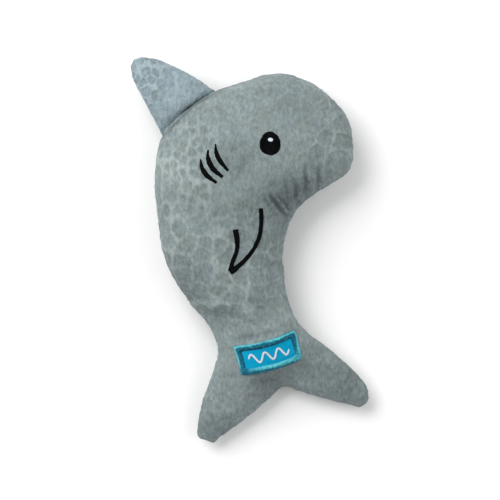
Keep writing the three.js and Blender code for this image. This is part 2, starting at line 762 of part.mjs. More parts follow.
// Everything on the far side of a plane through a point.
function halfSpace(point, normal) {
  const geometry = new THREE.BoxGeometry(above, above, above);
  geometry.applyQuaternion(
    new THREE.Quaternion().setFromUnitVectors(new THREE.Vector3(1, 0, 0), normal),
  );
  const middle = point.clone().addScaledVector(normal, above / 2);
  geometry.translate(middle.x, middle.y, middle.z);
  return solidOf(geometry);
}
const neckPoint = onToy(neckMiddle);
const headwards = onToy(neckDirection).normalize();
const upwards = new THREE.Vector3(0, 0, 1);
const torsoFill = body.fill.subtract(torsoCut);
const half = panelGap / 2;
const headFill = torsoFill.intersect(
  halfSpace(neckPoint.clone().addScaledVector(headwards, half), headwards),
);
const bellyFill = torsoFill
  .intersect(
    halfSpace(
      neckPoint.clone().addScaledVector(headwards, -half),
      headwards.clone().negate(),
    ),
  )
  .subtract(recess);
const middleOf = (offset) => new THREE.Vector3(0, 0, seamHeight + offset);
addMesh("head_stuffing", headFill, colours.fill);
addMesh("belly_stuffing_right", bellyFill.intersect(halfSpace(middleOf(half), upwards)), colours.fill);
addMesh(
  "belly_stuffing_left",
  bellyFill.intersect(halfSpace(middleOf(-half), upwards.clone().negate())),
  colours.fill,
);
addMesh("tail_stuffing", body.fill.intersect(tailZone), colours.fill);

// ---------------------------------------------------------------- dorsal fin

const finSeamStart = onToy(finRibs[0].back);
const finSeamEnd = onToy(finRibs[0].belly);
const finTip = onToy(finRibs.at(-1).back);
const finMiddle = finSeamStart.clone().add(finSeamEnd).multiplyScalar(0.5);
const finFrom = finRootGap / finMiddle.distanceTo(finTip);
const fin = stuffedShape(finRibs, finColumns, finRows, finSeam, () => seamHeight, false, finFrom);
const finPanelRight = fin.panel(1).subtract(threadChannel(fin.threadPath));
addMesh("fin_panel_right", finPanelRight, colours.finFleece);
addMesh("fin_panel_left", fin.panel(-1), colours.finFleece);
addMesh("fin_stuffing", fin.fill, colours.fill);
addMesh("fin_seam_thread", closedThread(fin.threadPath, threadRadius, 4), colours.thread);

// The thread that joins the fin to the back seam lies in the gap between them.
const backLine = new THREE.CatmullRomCurve3(
  bodyRibs.map((r) => onToy(r.back)),
  false,
  "catmullrom",
  0.5,
);
const nearestOn = (curve, point) => {
  const steps = 400;
  let best = 0;
  for (let k = 1; k <= steps; k++) {
    const closer =
      curve.getPoint(k / steps).distanceTo(point) < curve.getPoint(best / steps).distanceTo(point);
    if (closer) best = k;
  }
  return best / steps;
};
const joinFrom = nearestOn(backLine, finSeamStart);
const joinTo = nearestOn(backLine, finSeamEnd);
const joiningPath = new THREE.CatmullRomCurve3(
  [0.08, 0.29, 0.5, 0.71, 0.92].map((share) => {
    const t = joinFrom + (joinTo - joinFrom) * share;
    const tangent = backLine.getTangent(t);
    const outwards = new THREE.Vector3(tangent.y, -tangent.x, 0);
    return backLine
      .getPoint(t)
      .addScaledVector(outwards, joiningThreadRadius + panelGap)
      .setZ(seamHeight);
  }),
);
const threadSection = new THREE.Shape();
threadSection.absarc(0, 0, joiningThreadRadius, 0, 2 * Math.PI);
const joiningThread = new THREE.ExtrudeGeometry(threadSection, {
  steps: 10,
  curveSegments: 4,
  extrudePath: joiningPath,
  bevelEnabled: false,
});
addMesh("fin_joining_thread", solidOf(joiningThread), colours.thread);

export default group;
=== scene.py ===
import math

import bpy
import numpy as np
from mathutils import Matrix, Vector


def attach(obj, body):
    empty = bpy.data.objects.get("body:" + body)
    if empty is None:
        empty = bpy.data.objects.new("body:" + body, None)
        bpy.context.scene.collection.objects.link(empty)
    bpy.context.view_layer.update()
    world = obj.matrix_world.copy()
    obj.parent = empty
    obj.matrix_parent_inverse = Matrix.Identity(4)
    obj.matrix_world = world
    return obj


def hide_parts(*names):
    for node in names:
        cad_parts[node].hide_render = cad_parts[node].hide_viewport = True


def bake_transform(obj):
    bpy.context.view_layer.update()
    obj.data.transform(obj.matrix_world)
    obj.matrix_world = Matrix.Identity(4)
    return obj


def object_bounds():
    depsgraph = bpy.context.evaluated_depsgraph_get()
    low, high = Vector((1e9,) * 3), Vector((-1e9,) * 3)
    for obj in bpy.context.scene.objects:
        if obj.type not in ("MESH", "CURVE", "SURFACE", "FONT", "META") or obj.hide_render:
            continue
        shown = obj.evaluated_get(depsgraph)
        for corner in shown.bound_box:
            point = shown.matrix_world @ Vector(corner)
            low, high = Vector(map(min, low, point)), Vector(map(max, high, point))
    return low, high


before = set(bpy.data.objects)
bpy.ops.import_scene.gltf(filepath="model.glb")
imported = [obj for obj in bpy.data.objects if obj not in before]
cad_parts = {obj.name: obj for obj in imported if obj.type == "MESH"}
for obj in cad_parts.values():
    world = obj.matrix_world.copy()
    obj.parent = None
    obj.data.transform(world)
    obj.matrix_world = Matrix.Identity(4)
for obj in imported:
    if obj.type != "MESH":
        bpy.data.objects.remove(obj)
cadBox = [list(corner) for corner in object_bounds()]
mm = 0.001

# The pattern sheet is drawn in millimetres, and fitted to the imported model's own box.
pattern = {
    "length": 250.0, "width": 155.0, "plumpness": 0.84, "pressedFlat": 3.0,
    "endBunching": 0.88, "bowApex": 0.54, "bowRound": 0.15, "bowBelly": 0.72,
}
cadLow, cadHigh = np.array(cadBox[0]), np.array(cadBox[1])
fit = (cadHigh - cadLow)[:2] / (np.array([pattern["width"], pattern["length"]]) * mm)
centre = (cadHigh + cadLow)[:2] / 2

# back edge x y, belly edge x y, bow towards the head, height of the seam
bodyRibs = np.array([
    [65.8, 78.5, 66.8, 58.5, 1, 1],
    [62.4, 88, 63.3, 49.8, 1, 1],
    [52, 99.5, 52.9, 42.7, 0, 1],
    [36.4, 110.3, 41.4, 35.5, 0, 1],
    [16.3, 115.1, 31.7, 27.5, 0, 1],
    [-3.6, 109.5, 25.8, 17.9, 0, 1],
    [-23.2, 103, 22.7, 6.9, 0, 1],
    [-41.2, 91.4, 21.4, -4.1, 0, 1],
    [-56.9, 75, 22.1, -13.3, 0, 1],
    [-61.8, 48, 23, -22.3, 0, 1],
    [-60.1, 21, 24.8, -31.4, 0, 1],
    [-55, -7.4, 27.5, -39.8, 0, 0.96],
    [-41.8, -31.4, 32.4, -48.1, 0, 0.88],
    [-28.6, -47.4, 39.7, -55, 0.6, 0.8],
    [-21.3, -64.4, 49.4, -62.2, 2.6, 0.72],
    [-26.1, -83.9, 62, -72.8, 6.5, 0.64],
    [-31.8, -99.5, 72.4, -83.2, 11, 0.56],
    [-34.4, -112.9, 77.3, -91.4, 16.3, 0.5],
    [-34.3, -122.4, 77.4, -99.3, 21.8, 0.46],
    [-23.9, -126.2, 71.6, -103, 24.8, 0.44],
])
finRibs = np.array([
    [-21.4, 102.6, -56.8, 74.2, -1.2, 1],
    [-30.8, 109.7, -62.1, 83.5, 0, 1],
    [-39.6, 114.9, -66.5, 92.1, 0, 1],
    [-49.4, 119.9, -71, 100.8, 0, 1],
    [-60.8, 124.7, -76.3, 110.6, -1, 1],
    [-70.6, 125.3, -77.3, 119.2, -2.5, 1],
])


def splineAt(points, u):
    # uniform Catmull-Rom through the rows of points, u from 0 to 1
    padded = np.vstack([2 * points[0] - points[1], points, 2 * points[-1] - points[-2]])
    last = len(points) - 1
    k = np.minimum((u * last).astype(int), last - 1)
    t = (u * last - k)[:, None]
    a, b, c, d = (padded[k + n] for n in range(4))
    return 0.5 * (2 * b + (c - a) * t + (2 * a - 5 * b + 4 * c - d) * t**2 + (3 * b - a - 3 * c + d) * t**3)


def ribSheet(ribs, columns, rows):
    # point = back + (belly - back) v + headwards * bow * corner(v), where the corner is a rounded V.
    # v runs as (1 - cos(pi j / rows)) / 2 so that points crowd at both edges, and u partly so.
    even = np.linspace(0, 1, columns + 1)
    u = even + ((1 - np.cos(np.pi * even)) / 2 - even) * pattern["endBunching"]
    v = (1 - np.cos(np.linspace(0, np.pi, rows + 1))) / 2
    rib = splineAt(ribs, u)
    start, along = rib[:, 0:2], rib[:, 2:4] - rib[:, 0:2]
    headwards = np.stack([-along[:, 1], along[:, 0]], 1)
    headwards /= np.linalg.norm(headwards, axis=1, keepdims=True)
    apex, soft = pattern["bowApex"], pattern["bowRound"]
    side = np.where(v < apex, (apex - v) / apex, (v - apex) / (1 - apex))
    corner = 1 - ((np.hypot(side, soft) - soft) / (math.hypot(1, soft) - soft)) ** pattern["bowBelly"]
    flat = start[:, None] + along[:, None] * v[None, :, None]
    flat = flat + headwards[:, None] * (rib[:, 4][:, None] * corner[None])[:, :, None]
    lift = np.repeat(rib[:, 5][:, None], rows + 1, 1)
    return flat, lift


def pillowHeight(flat):
    # solves a membrane held at its edge and pushed up evenly, and takes plumpness * sqrt of it:
    # an ellipse across a strip, a dome over a disc. Cotangent weights on the grid's triangles.
    columns, rows = flat.shape[0] - 1, flat.shape[1] - 1
    ids = np.arange((columns + 1) * (rows + 1)).reshape(columns + 1, rows + 1)
    a, b, c, d = ids[:-1, :-1], ids[1:, :-1], ids[1:, 1:], ids[:-1, 1:]
    faces = np.concatenate([np.stack([a, b, c], -1).reshape(-1, 3), np.stack([a, c, d], -1).reshape(-1, 3)])
    points = flat.reshape(-1, 2)
    stiff = np.zeros((len(points), len(points)))
    load = np.zeros(len(points))
    for p, q, r in ((0, 1, 2), (1, 2, 0), (2, 0, 1)):
        toP, toQ = points[faces[:, p]] - points[faces[:, r]], points[faces[:, q]] - points[faces[:, r]]
        double = np.abs(toP[:, 0] * toQ[:, 1] - toP[:, 1] * toQ[:, 0])
        weight = (toP * toQ).sum(1) / (2 * double)
        for m, n, sign in ((p, q, -1), (q, p, -1), (p, p, 1), (q, q, 1)):
            np.add.at(stiff, (faces[:, m], faces[:, n]), sign * weight)
        np.add.at(load, faces[:, p], double / 6)
    inside = ids[1:-1, 1:-1].ravel()
    height = np.zeros(len(points))
    height[inside] = np.linalg.solve(stiff[np.ix_(inside, inside)], load[inside])
    return pattern["plumpness"] * np.sqrt(np.maximum(height, 0)).reshape(flat.shape[:2])


def resample(grid, columns, rows):
    # cubic through the grid's rows, then through its columns
    def along(values, count):
        u = np.linspace(0, 1, count + 1)
        flatValues = values.reshape(len(values), -1)
        return splineAt(flatValues, u).reshape((count + 1,) + values.shape[1:])
    return along(along(grid, columns).swapaxes(0, 1), rows).swapaxes(0, 1)


def gridNormals(grid):
    # cross product of the grid's two directions, one normal at each point
    return unit(np.cross(np.gradient(grid, axis=0), np.gradient(grid, axis=1)))


def unit(vectors):
    return vectors / np.maximum(np.linalg.norm(vectors, axis=-1, keepdims=True), 1e-12)


def smoothStep(x):
    x = np.clip(x, 0, 1)
    return x * x * (3 - 2 * x)


def hashed(cells, salt):
    # an even spread of values from 0 to 1, one for each whole-numbered cell
    mixed = (cells[..., 0] * 73856093) ^ (cells[..., 1] * 19349663) ^ (salt * 83492791)
    mixed = (mixed ^ (mixed >> 13)) * 1274126177
    return ((mixed ^ (mixed >> 16)) & 0xFFFF) / 65535.0


def softNoise(at, size, salt):
    # value noise: smoothly joined random values at the corners of a square lattice
    q = at / size
    base = np.floor(q).astype(np.int64)
    f = q - base
    f = f * f * (3 - 2 * f)
    corners = [hashed(base + np.array(o), salt) for o in ((0, 0), (1, 0), (0, 1), (1, 1))]
    low = corners[0] + (corners[1] - corners[0]) * f[..., 0]
    high = corners[2] + (corners[3] - corners[2]) * f[..., 0]
    return (low + (high - low) * f[..., 1]) * 2 - 1


def pebbles(at, size, salt):
    # distances to the nearest and next nearest of a lattice of shaken points: the difference is 0 on the
    # lines between the pebbles and grows towards their middles
    q = at / size
    base = np.floor(q).astype(np.int64)
    near = np.full(at.shape[:-1], 9.0)
    nextNear = np.full(at.shape[:-1], 9.0)
    tone = np.zeros(at.shape[:-1])
    for dx in (-1, 0, 1):
        for dy in (-1, 0, 1):
            cell = base + np.array([dx, dy])
            shake = np.stack([hashed(cell, salt), hashed(cell, salt + 1)], -1)
            far = np.linalg.norm(cell + 0.5 + 0.78 * (shake - 0.5) - q, axis=-1)
            closer = far < near
            nextNear = np.where(closer, near, np.minimum(nextNear, far))
            tone = np.where(closer, hashed(cell, salt + 2), tone)
            near = np.minimum(near, far)
    return near, nextNear - near, tone


def gridFaces(columns, rows, turned=False):
    ids = np.arange((columns + 1) * (rows + 1)).reshape(columns + 1, rows + 1)
    quads = np.stack([ids[:-1, :-1], ids[1:, :-1], ids[1:, 1:], ids[:-1, 1:]], -1).reshape(-1, 4)
    return quads[:, ::-1] if turned else quads


def makeMesh(name, points, faces):
    mesh = bpy.data.meshes.new(name)
    mesh.from_pydata(np.asarray(points).reshape(-1, 3).tolist(), [], np.asarray(faces).tolist())
    mesh.polygons.foreach_set("use_smooth", np.ones(len(mesh.polygons), bool))
    mesh.update()
    made = bpy.data.objects.new(name, mesh)
    bpy.context.scene.collection.objects.link(made)
    return made


def pointValues(obj, name, values):
    attribute = obj.data.attributes.new(name, "FLOAT", "POINT")
    attribute.data.foreach_set("value", np.asarray(values, np.float32).ravel())


def onPattern(xy):
    # pattern millimetres to the frame's metres
    return np.asarray(xy, float) * mm * fit + centre


def seamDistance(sheet):
    # how far each point lies from the edge of its sheet, measured over the cloth
    across = np.linalg.norm(np.diff(sheet, axis=1), axis=-1)
    along = np.linalg.norm(np.diff(sheet, axis=0), axis=-1)
    left = np.concatenate([np.zeros((len(sheet), 1)), np.cumsum(across, 1)], 1)
    first = np.concatenate([np.zeros((1, sheet.shape[1])), np.cumsum(along, 0)], 0)
    return np.minimum(np.minimum(left, left[:, -1:] - left), np.minimum(first, first[-1:] - first))


def evened(grid, times):
    # each point becomes the mean of itself and the mean of its four neighbours
    for _ in range(times):
        padded = np.pad(grid, ((1, 1), (1, 1), (0, 0)), mode="edge")
        around = padded[:-2, 1:-1] + padded[2:, 1:-1] + padded[1:-1, :-2] + padded[1:-1, 2:]
        grid = 0.5 * grid + 0.125 * around
    return grid


def inflate(name, flat, lift, seamAt, settings, grounded):
    # a closed bag: a sheet over the seam and a sheet under it sharing their edge, blown up as cloth
    height = pillowHeight(flat / mm) * mm
    seam = seamAt(height.max()) * lift
    columns, rows = flat.shape[0] - 1, flat.shape[1] - 1
    start = height * settings["slack"]
    floor = 0.0 if grounded else -1.0

    def bagSides(rise):
        return np.dstack([flat, seam + rise]), np.dstack([flat, np.maximum(seam - rise, floor)])

    upper, lower = bagSides(start)
    target = bagSides(height)
    ids = np.arange((columns + 1) * (rows + 1)).reshape(columns + 1, rows + 1)
    edge = np.zeros_like(ids, bool)
    edge[0], edge[-1], edge[:, 0], edge[:, -1] = True, True, True, True
    under = ids.copy()
    under[~edge] = ids.size + np.arange((~edge).sum())
    topFaces = gridFaces(columns, rows)
    faces = np.vstack([topFaces, under.ravel()[topFaces][:, ::-1]])
    bag = makeMesh(name + "Bag", np.vstack([upper.reshape(-1, 3), lower[~edge]]), faces)
    pins = bag.vertex_groups.new(name="seam")
    pins.add([int(n) for n in ids[edge]], 1.0, "REPLACE")
    cloth = bag.modifiers.new("stuffing", "CLOTH")
    fabric = cloth.settings
    fabric.quality = 6
    fabric.mass = 0.2
    fabric.air_damping = 3
    fabric.use_pressure = True
    fabric.uniform_pressure_force = settings["pressure"]
    fabric.tension_stiffness = fabric.compression_stiffness = settings["stiffness"]
    fabric.shear_stiffness = settings["stiffness"] * 0.5
    fabric.bending_stiffness = settings["bending"]
    fabric.shrink_min = settings["shrink"]
    fabric.effector_weights.gravity = 0
    fabric.vertex_group_mass = "seam"
    cloth.collision_settings.use_self_collision = False
    for step in range(1, 21):
        bpy.context.scene.frame_set(step)
    bpy.context.view_layer.update()
    blown = bag.evaluated_get(bpy.context.evaluated_depsgraph_get())
    points = np.empty(len(blown.data.vertices) * 3)
    blown.data.vertices.foreach_get("co", points)
    points = points.reshape(-1, 3)
    bpy.context.scene.frame_set(1)
    bpy.data.objects.remove(bag)
    sheets = []
    for ordered, wanted in ((ids, target[0]), (under, target[1])):
        puffed = points[ordered.ravel()].reshape(columns + 1, rows + 1, 3)
        move = evened(puffed - wanted, 4)
        move[..., :2] *= smoothStep(seamDistance(wanted) / settings["held"])[..., None]
        far = np.linalg.norm(move, axis=-1, keepdims=True)
        cap = settings["cap"]
        sheets.append(wanted + move * np.minimum(1, cap / np.maximum(far, 1e-9)))
    if grounded:
        sheets[1][..., 2] = np.maximum(sheets[1][..., 2], 0)
    return sheets, height.max()


skinValues = {
    "columns": 96, "rows": 36, "fineColumns": 500, "fineRows": 180, "slack": 0.93, "pressure": 4.0,
    "stiffness": 12.0, "bending": 0.4, "shrink": -0.03, "cap": 0.003, "held": 0.022,
}
flat, lift = ribSheet(bodyRibs, skinValues["columns"], skinValues["rows"])
bodySheets, bodyPeak = inflate(
    "body", onPattern(flat), lift, lambda peak: peak - pattern["pressedFlat"] * mm, skinValues, True)
seamZ = bodyPeak - pattern["pressedFlat"] * mm
print("body stuffed, crown", round(bodyPeak / mm, 1), "mm over the seam")

finValues = {
    "columns": 40, "rows": 26, "fineColumns": 190, "fineRows": 130, "slack": 0.93, "pressure": 4.0,
    "stiffness": 12.0, "bending": 0.5, "shrink": -0.02, "cap": 0.002, "held": 0.016,
}
finFlat, finLift = ribSheet(finRibs, finValues["columns"], finValues["rows"])
finSheets, _ = inflate("fin", onPattern(finFlat), finLift, lambda peak: seamZ, finValues, False)
print("fin stuffed")


# Creases in the cloth: from x y to x y on the pattern, depth and width in millimetres, and how much painted
# shade lies inside.
creases = {
    "right": [
        [12.4, 34.3, 24, 22, 2.1, 1.5, 1.15], [17.5, 35, 27, 24.5, 1.5, 1.2, 0.75],
        [8, 34, 16, 24.5, 0.9, 1.5, 0.4], [35.8, 54, 36.6, 33, 1.4, 1.4, 0.5],
        [45, 54, 43.6, 38, 1.4, 1.5, 0.5], [28.8, 44, 31, 27, 1.4, 1.4, 0.5],
        [22.6, 46, 26, 27, 0.9, 1.5, 0.3], [52, 58, 50.6, 43, 0.8, 1.6, 0.25],
        [-27, -44, -6, -39.5, 0.9, 3.2, 0.2], [-8, -33, 12, -37, 0.7, 3.2, 0.25],
        [-9, -58.5, 11, -54.4, 0.9, 2.0, 0.35], [11, -54.4, 26, -49, 0.6, 2.2, 0.2],
        [-22, -84, -7, -83.2, 0.5, 1.8, 0.1], [-22, -88, -17, -98, 0.5, 1.8, 0.1],
        [0, -88, 14, -84.6, 0.9, 2.6, 0.25], [25.5, -79, 26.5, -91, 0.6, 1.8, 0.15],
        [34, -80, 37, -92, 0.5, 1.9, 0.1], [-6, 20, -4, 8, 0.5, 2.4, 0.1],
        [20, -8, 8, -12, 0.5, 2.6, 0.1], [-15, 106, -48, 87, 0.2, 0.9, 1.0],
        [-34, 96, -60, 70, 0.2, 0.9, 1.0], [56, 80, 50, 72, 0.4, 2.2, 0.1],
    ],
    "left": [
        [14, 36, 23, 24, 1.2, 1.6, 0.6], [38, 45, 38, 36, 0.8, 1.3, 0.3],
        [-24, -46, 6, -39, 0.8, 3.0, 0.2], [-16, -70, 12, -66, 0.6, 2.6, 0.2],
        [2, -88, 18, -84, 0.6, 2.6, 0.2], [-15, 106, -48, 87, 0.2, 0.9, 1.0],
        [-34, 96, -60, 70, 0.2, 0.9, 1.0],
    ],
    "fin": [
        [-15, 107, -48, 87, 0.3, 1.0, 1.75], [-34, 97, -60, 71, 0.3, 1.0, 1.75],
        [-20, 106, -60, 74.5, 0.1, 2.6, 0.5], [-44, 94, -50, 101, 0.4, 1.8, 0.15],
        [-33, 104, -36, 109, 0.3, 1.4, 0.15],
    ],
}
# Patches painted lighter or darker, partly where the pile lies another way, partly painted light on the upper
# back and the fin and painted shade at the throat, the tail's notch, the fluke tips and low on the back: x y
# on the pattern, reach, amount.
lightAndNapPatches = {
    "right": [
        [22, 32, 15, -0.5], [38, 44, 12, -0.2], [-14, 25, 20, -0.22], [13, -84, 13, -0.6],
        [64, -88, 20, -0.42], [-26, -114, 16, -0.36], [45, -72, 16, -0.18], [-42, -20, 14, -0.38],
        [-50, 52, 14, 0.36], [-9, 59, 13, -0.42], [-18, -38, 12, -0.15], [4, -52, 16, 0.08],
        [-52, 14, 14, 0.08], [-22, -97, 10, 0.14], [22, 100, 16, -0.16], [46, 88, 14, -0.14],
        [8, 4, 16, -0.12], [58, 62, 8, 0.14],
    ],
    "fin": [[-44, 99, 9, 0.22], [-45, 90, 8, 0.14]],
    "left": [[13, -84, 13, -0.3], [62, -86, 20, -0.2], [-25, -112, 16, -0.2], [21, 33, 17, -0.25]],
}
# Heights of the pile's relief, the pitch of its pebbles and the width of its pinched seam, in millimetres,
# and how much painted shade lies along the seam.
relief = {
    "smallPitch": 7.0, "bigPitch": 12.0, "ridge": 0.26, "hollow": 0.34, "rim": 0.1, "fleece": 0.24,
    "lumps": 0.8, "seamPinch": 0.75, "seamWidth": 1.5, "seamShade": 0.45,
}


def unrolled(sheet):
    # lays the curved sheet out flat: each rib keeps its own length across, measured from its middle
    step = np.linalg.norm(np.diff(sheet, axis=1), axis=-1)
    across = np.concatenate([np.zeros((len(sheet), 1)), np.cumsum(step, 1)], 1)
    middle = sheet.shape[1] // 2
    across = across - across[:, middle:middle + 1]
    direction = unit(sheet[:, -1, :2] - sheet[:, 0, :2])
    return sheet[:, middle:middle + 1, :2] + direction[:, None] * across[..., None], step


def fleeceRelief(sheet, outwards, pebbleShare, creaseList, lightAndNapList, salt):
    # soft height = lumps + a furred edge - creases, the lumps least where the cloth faces sideways;
    # fine height = lines between the pebbles - their hollow middles and rims + nap - pinch at the seam
    at, _ = unrolled(sheet)
    at = at / mm
    here = (sheet[..., :2] - centre) / fit / mm
    warp = np.stack([softNoise(at, 9, salt + 5), softNoise(at, 9, salt + 6)], -1)
    smallNear, smallGap, smallTone = pebbles(at * [1.06, 0.94] + warp, relief["smallPitch"], salt)
    bigNear, bigGap, bigTone = pebbles(at * [0.92, 1.1] + warp * 1.6, relief["bigPitch"], salt + 9)
    small, big = pebbleShare(here)
    patchy = np.clip(0.9 + 0.4 * softNoise(at, 19, salt + 12), 0.45, 1)
    smallIn = np.minimum((smallGap - 0.1) * 0.9, 0.54 - smallNear)
    bigIn = np.minimum((bigGap - 0.08) * 0.9, 0.6 - bigNear)
    ridge = patchy * (small * smoothStep(1 - smallIn / 0.16) + big * smoothStep(1 - bigIn / 0.12))
    hollow = small * smoothStep(smallIn / 0.16) * (0.5 + 0.5 * smallTone)
    hollow = patchy * (hollow + big * smoothStep(bigIn / 0.12) * (0.3 + 0.7 * bigTone))
    rim = small * np.exp(-(((smallIn - 0.1) / 0.07) ** 2))
    rim = rim + 0.8 * big * np.exp(-(((bigIn - 0.07) / 0.05) ** 2))
    nap = 0.6 * softNoise(at * [1, 0.75], 1.3, salt + 20) + 0.4 * softNoise(at * [1, 0.75], 0.8, salt + 21)
    lumps = softNoise(at, 26, salt + 30) + 0.6 * softNoise(at, 13, salt + 31)
    lumps = lumps + 0.32 * softNoise(at, 6.5, salt + 32)
    edge = seamDistance(sheet) / mm
    calm = smoothStep(edge / 3.0)
    corners = sheet[[0, 0, -1, -1], [0, -1, 0, -1]]
    clear = smoothStep((np.linalg.norm(sheet[:, :, None] - corners, axis=-1).min(-1) / mm - 1) / 6)
    fine = (relief["ridge"] * ridge - relief["hollow"] * hollow - relief["rim"] * rim) * calm
    fine = fine + relief["fleece"] * nap * smoothStep((edge - 0.6) / 2.5)
    fine = fine - clear * relief["seamPinch"] * np.exp(-((edge / relief["seamWidth"]) ** 2))
    soft = relief["lumps"] * lumps * smoothStep(edge / 14) * smoothStep(np.abs(outwards[..., 2]) / 0.8)
    furred = 0.3 * softNoise(here, 4.2, 77) + 0.22 * softNoise(here, 1.7, 78)
    soft = soft + clear * furred * np.exp(-((edge / 5) ** 2))
    # painted shade along the pinched seam; the loop below adds painted shade inside each crease, as much as
    # its last column gives
    painted_crease_shade = relief["seamShade"] * np.exp(-((edge / 0.7) ** 2))
    for x0, y0, x1, y1, depth, width, dark in creaseList:
        start, along = np.array([x0, y0]), np.array([x1 - x0, y1 - y0])
        t = np.clip(((here - start) @ along) / (along @ along), 0, 1)
        wander = 0.5 * softNoise(here, 5, salt + 40)[..., None]
        away = np.linalg.norm(here - start - t[..., None] * along + wander, axis=-1) / width
        fade = np.sin(np.pi * np.clip(0.12 + 0.76 * t, 0, 1))
        soft = soft - depth * fade * (np.exp(-away**2) - 0.35 * np.exp(-(((away - 2) / 0.9) ** 2)))
        painted_crease_shade = np.maximum(painted_crease_shade, dark * fade * np.exp(-((away / 0.95) ** 2)))
    # painted light and painted shade in patches, partly the nap's lie
    nap_and_painted_light = np.zeros_like(edge)
    for x, y, reach, amount in lightAndNapList:
        nap_and_painted_light = nap_and_painted_light + amount * np.exp(-((here - [x, y]) ** 2).sum(-1) / reach**2)
    # marks for the material: a painted highlight on the pebbles' raised lines, painted shade in their hollows
    # and rims
    marks = {"ridge": ridge * calm, "hollow": (hollow + 0.5 * rim * patchy) * calm, "painted_crease_shade": painted_crease_shade, "nap_and_painted_light": nap_and_painted_light}
    return soft * mm, fine * mm, marks


def bodyPebbles(here):
    # small pebbles behind the gills and down the back, larger ones below them and faintly on the snout
    x, y = here[..., 0], here[..., 1]
    small = smoothStep((-14 - x) / 17) * smoothStep((92 - y) / 14) * smoothStep((y - 12) / 24)
    torso = smoothStep((42 - y) / 25) * smoothStep((y + 50) / 18) * (0.6 + 0.4 * smoothStep((2 - x) / 20))
    head = 0.5 * smoothStep((x - 26) / 18) * smoothStep((y - 46) / 12) + 0.35 * smoothStep((y - 88) / 14)
    big = np.clip(torso + head, 0, 1) * (1 - small)
    return small * 0.9, big * 1.12


def finPebbles(here):
    # pebbles near the tip of the fin only
    small = 0.12 + 0.88 * smoothStep((-52 - here[..., 0] + 0.35 * (here[..., 1] - 105)) / 12)
    return small, np.zeros(here.shape[:-1])


def furnish(name, sheet, side, values, share, creaseList, lightAndNapList, salt):
    # the blown sheet, drawn finer, with the fleece's relief along its normals
    base = resample(sheet, values["fineColumns"], values["fineRows"])
    if side == "left":
        base[..., 2] = np.maximum(base[..., 2], 0)
    turned = 1 if side == "right" else -1
    outwards = unit(evened(gridNormals(base) * turned, 2))
    soft, fine, marks = fleeceRelief(base, outwards, share, creaseList, lightAndNapList, salt)
    edge = smoothStep(seamDistance(base) / mm / 6)[..., None]
    sideways = unit(outwards * [1, 1, 0] + 1e-9)
    outwards = unit(outwards * edge + sideways * (1 - edge))
    bed = base + outwards * soft[..., None]
    shown = bed + outwards * fine[..., None]
    if side == "left":
        for surface in (shown, bed):
            surface[..., 2] = np.maximum(surface[..., 2], 0.1 * mm)
    made = makeMesh(name, shown, gridFaces(values["fineColumns"], values["fineRows"], side == "left"))
    for word, grid in marks.items():
        pointValues(made, word, grid)
    return made, bed, outwards


skins, finSkins, bodyFine = {}, {}, {}
for side, sheet, salt in (("right", bodySheets[0], 3), ("left", bodySheets[1], 57)):
    skins[side], *bodyFine[side] = furnish(
        "fleece_" + side, sheet, side, skinValues, bodyPebbles, creases[side], lightAndNapPatches[side], salt)
for side, sheet, salt in (("right", finSheets[0], 90), ("left", finSheets[1], 120)):
    finSkins[side], *_ = furnish(
        "fin_fleece_" + side, sheet, side, finValues, finPebbles, creases["fin"], lightAndNapPatches["fin"], salt)
print("fleece drawn,", sum(len(o.data.polygons) for o in [*skins.values(), *finSkins.values()]), "faces")


def onSkin(xy, side, lift):
    # finds where a plan point falls on the fine sheet: nearest of a coarse net, then Newton steps on the
    # bilinear sheet, and stands off it along the normal
    fine, outwards = bodyFine[side]
    plan = onPattern(xy).reshape(-1, 2)
    skip = 10
    coarse = fine[::skip, ::skip, :2]
    span = coarse.shape[1]
    nearest = np.empty(len(plan), int)
    for part in np.array_split(np.arange(len(plan)), max(1, len(plan) // 2000)):
        gaps = ((plan[part, None] - coarse.reshape(1, -1, 2)) ** 2).sum(-1)
        nearest[part] = gaps.argmin(1)
    at = np.stack([nearest // span, nearest % span], 1).astype(float) * skip
    most = np.array(fine.shape[:2]) - 1.001

    def sample(grid, at):
        i, j = at[:, 0].astype(int), at[:, 1].astype(int)
        f, g = (at[:, 0] - i)[:, None], (at[:, 1] - j)[:, None]
        a, b, c, d = grid[i, j], grid[i + 1, j], grid[i, j + 1], grid[i + 1, j + 1]
        value = a * (1 - f) * (1 - g) + b * f * (1 - g) + c * (1 - f) * g + d * f * g
        return value, (b - a) * (1 - g) + (d - c) * g, (c - a) * (1 - f) + (d - b) * f

    at = np.clip(at, 0, most)
    for _ in range(12):
        value, du, dv = sample(fine[..., :2], at)
        off = plan - value
        det = du[:, 0] * dv[:, 1] - du[:, 1] * dv[:, 0]
        det = np.where(np.abs(det) < 1e-15, 1e-15, det)
        alongU = off[:, 0] * dv[:, 1] - off[:, 1] * dv[:, 0]
        alongV = du[:, 0] * off[:, 1] - du[:, 1] * off[:, 0]
        step = np.stack([alongU, alongV], 1) / det[:, None]
        at = np.clip(at + np.clip(step, -8, 8), 0, most)
    point, _, _ = sample(fine, at)
    normal, _, _ = sample(outwards, at)
    laid = point + unit(normal) * np.asarray(lift).reshape(-1, 1)
    if side == "left":
        laid[:, 2] = np.maximum(laid[:, 2], 0.05 * mm)
    return laid


def arcPath(points, count):
    # a smooth path through the points, evenly stepped along its length
    fine = splineAt(np.asarray(points, float), np.linspace(0, 1, 400))
    run = np.concatenate([[0], np.cumsum(np.linalg.norm(np.diff(fine, axis=0), axis=1))])
    even = np.linspace(0, run[-1], count)
    return np.stack([np.interp(even, run, fine[:, k]) for k in range(fine.shape[1])], 1), run[-1]


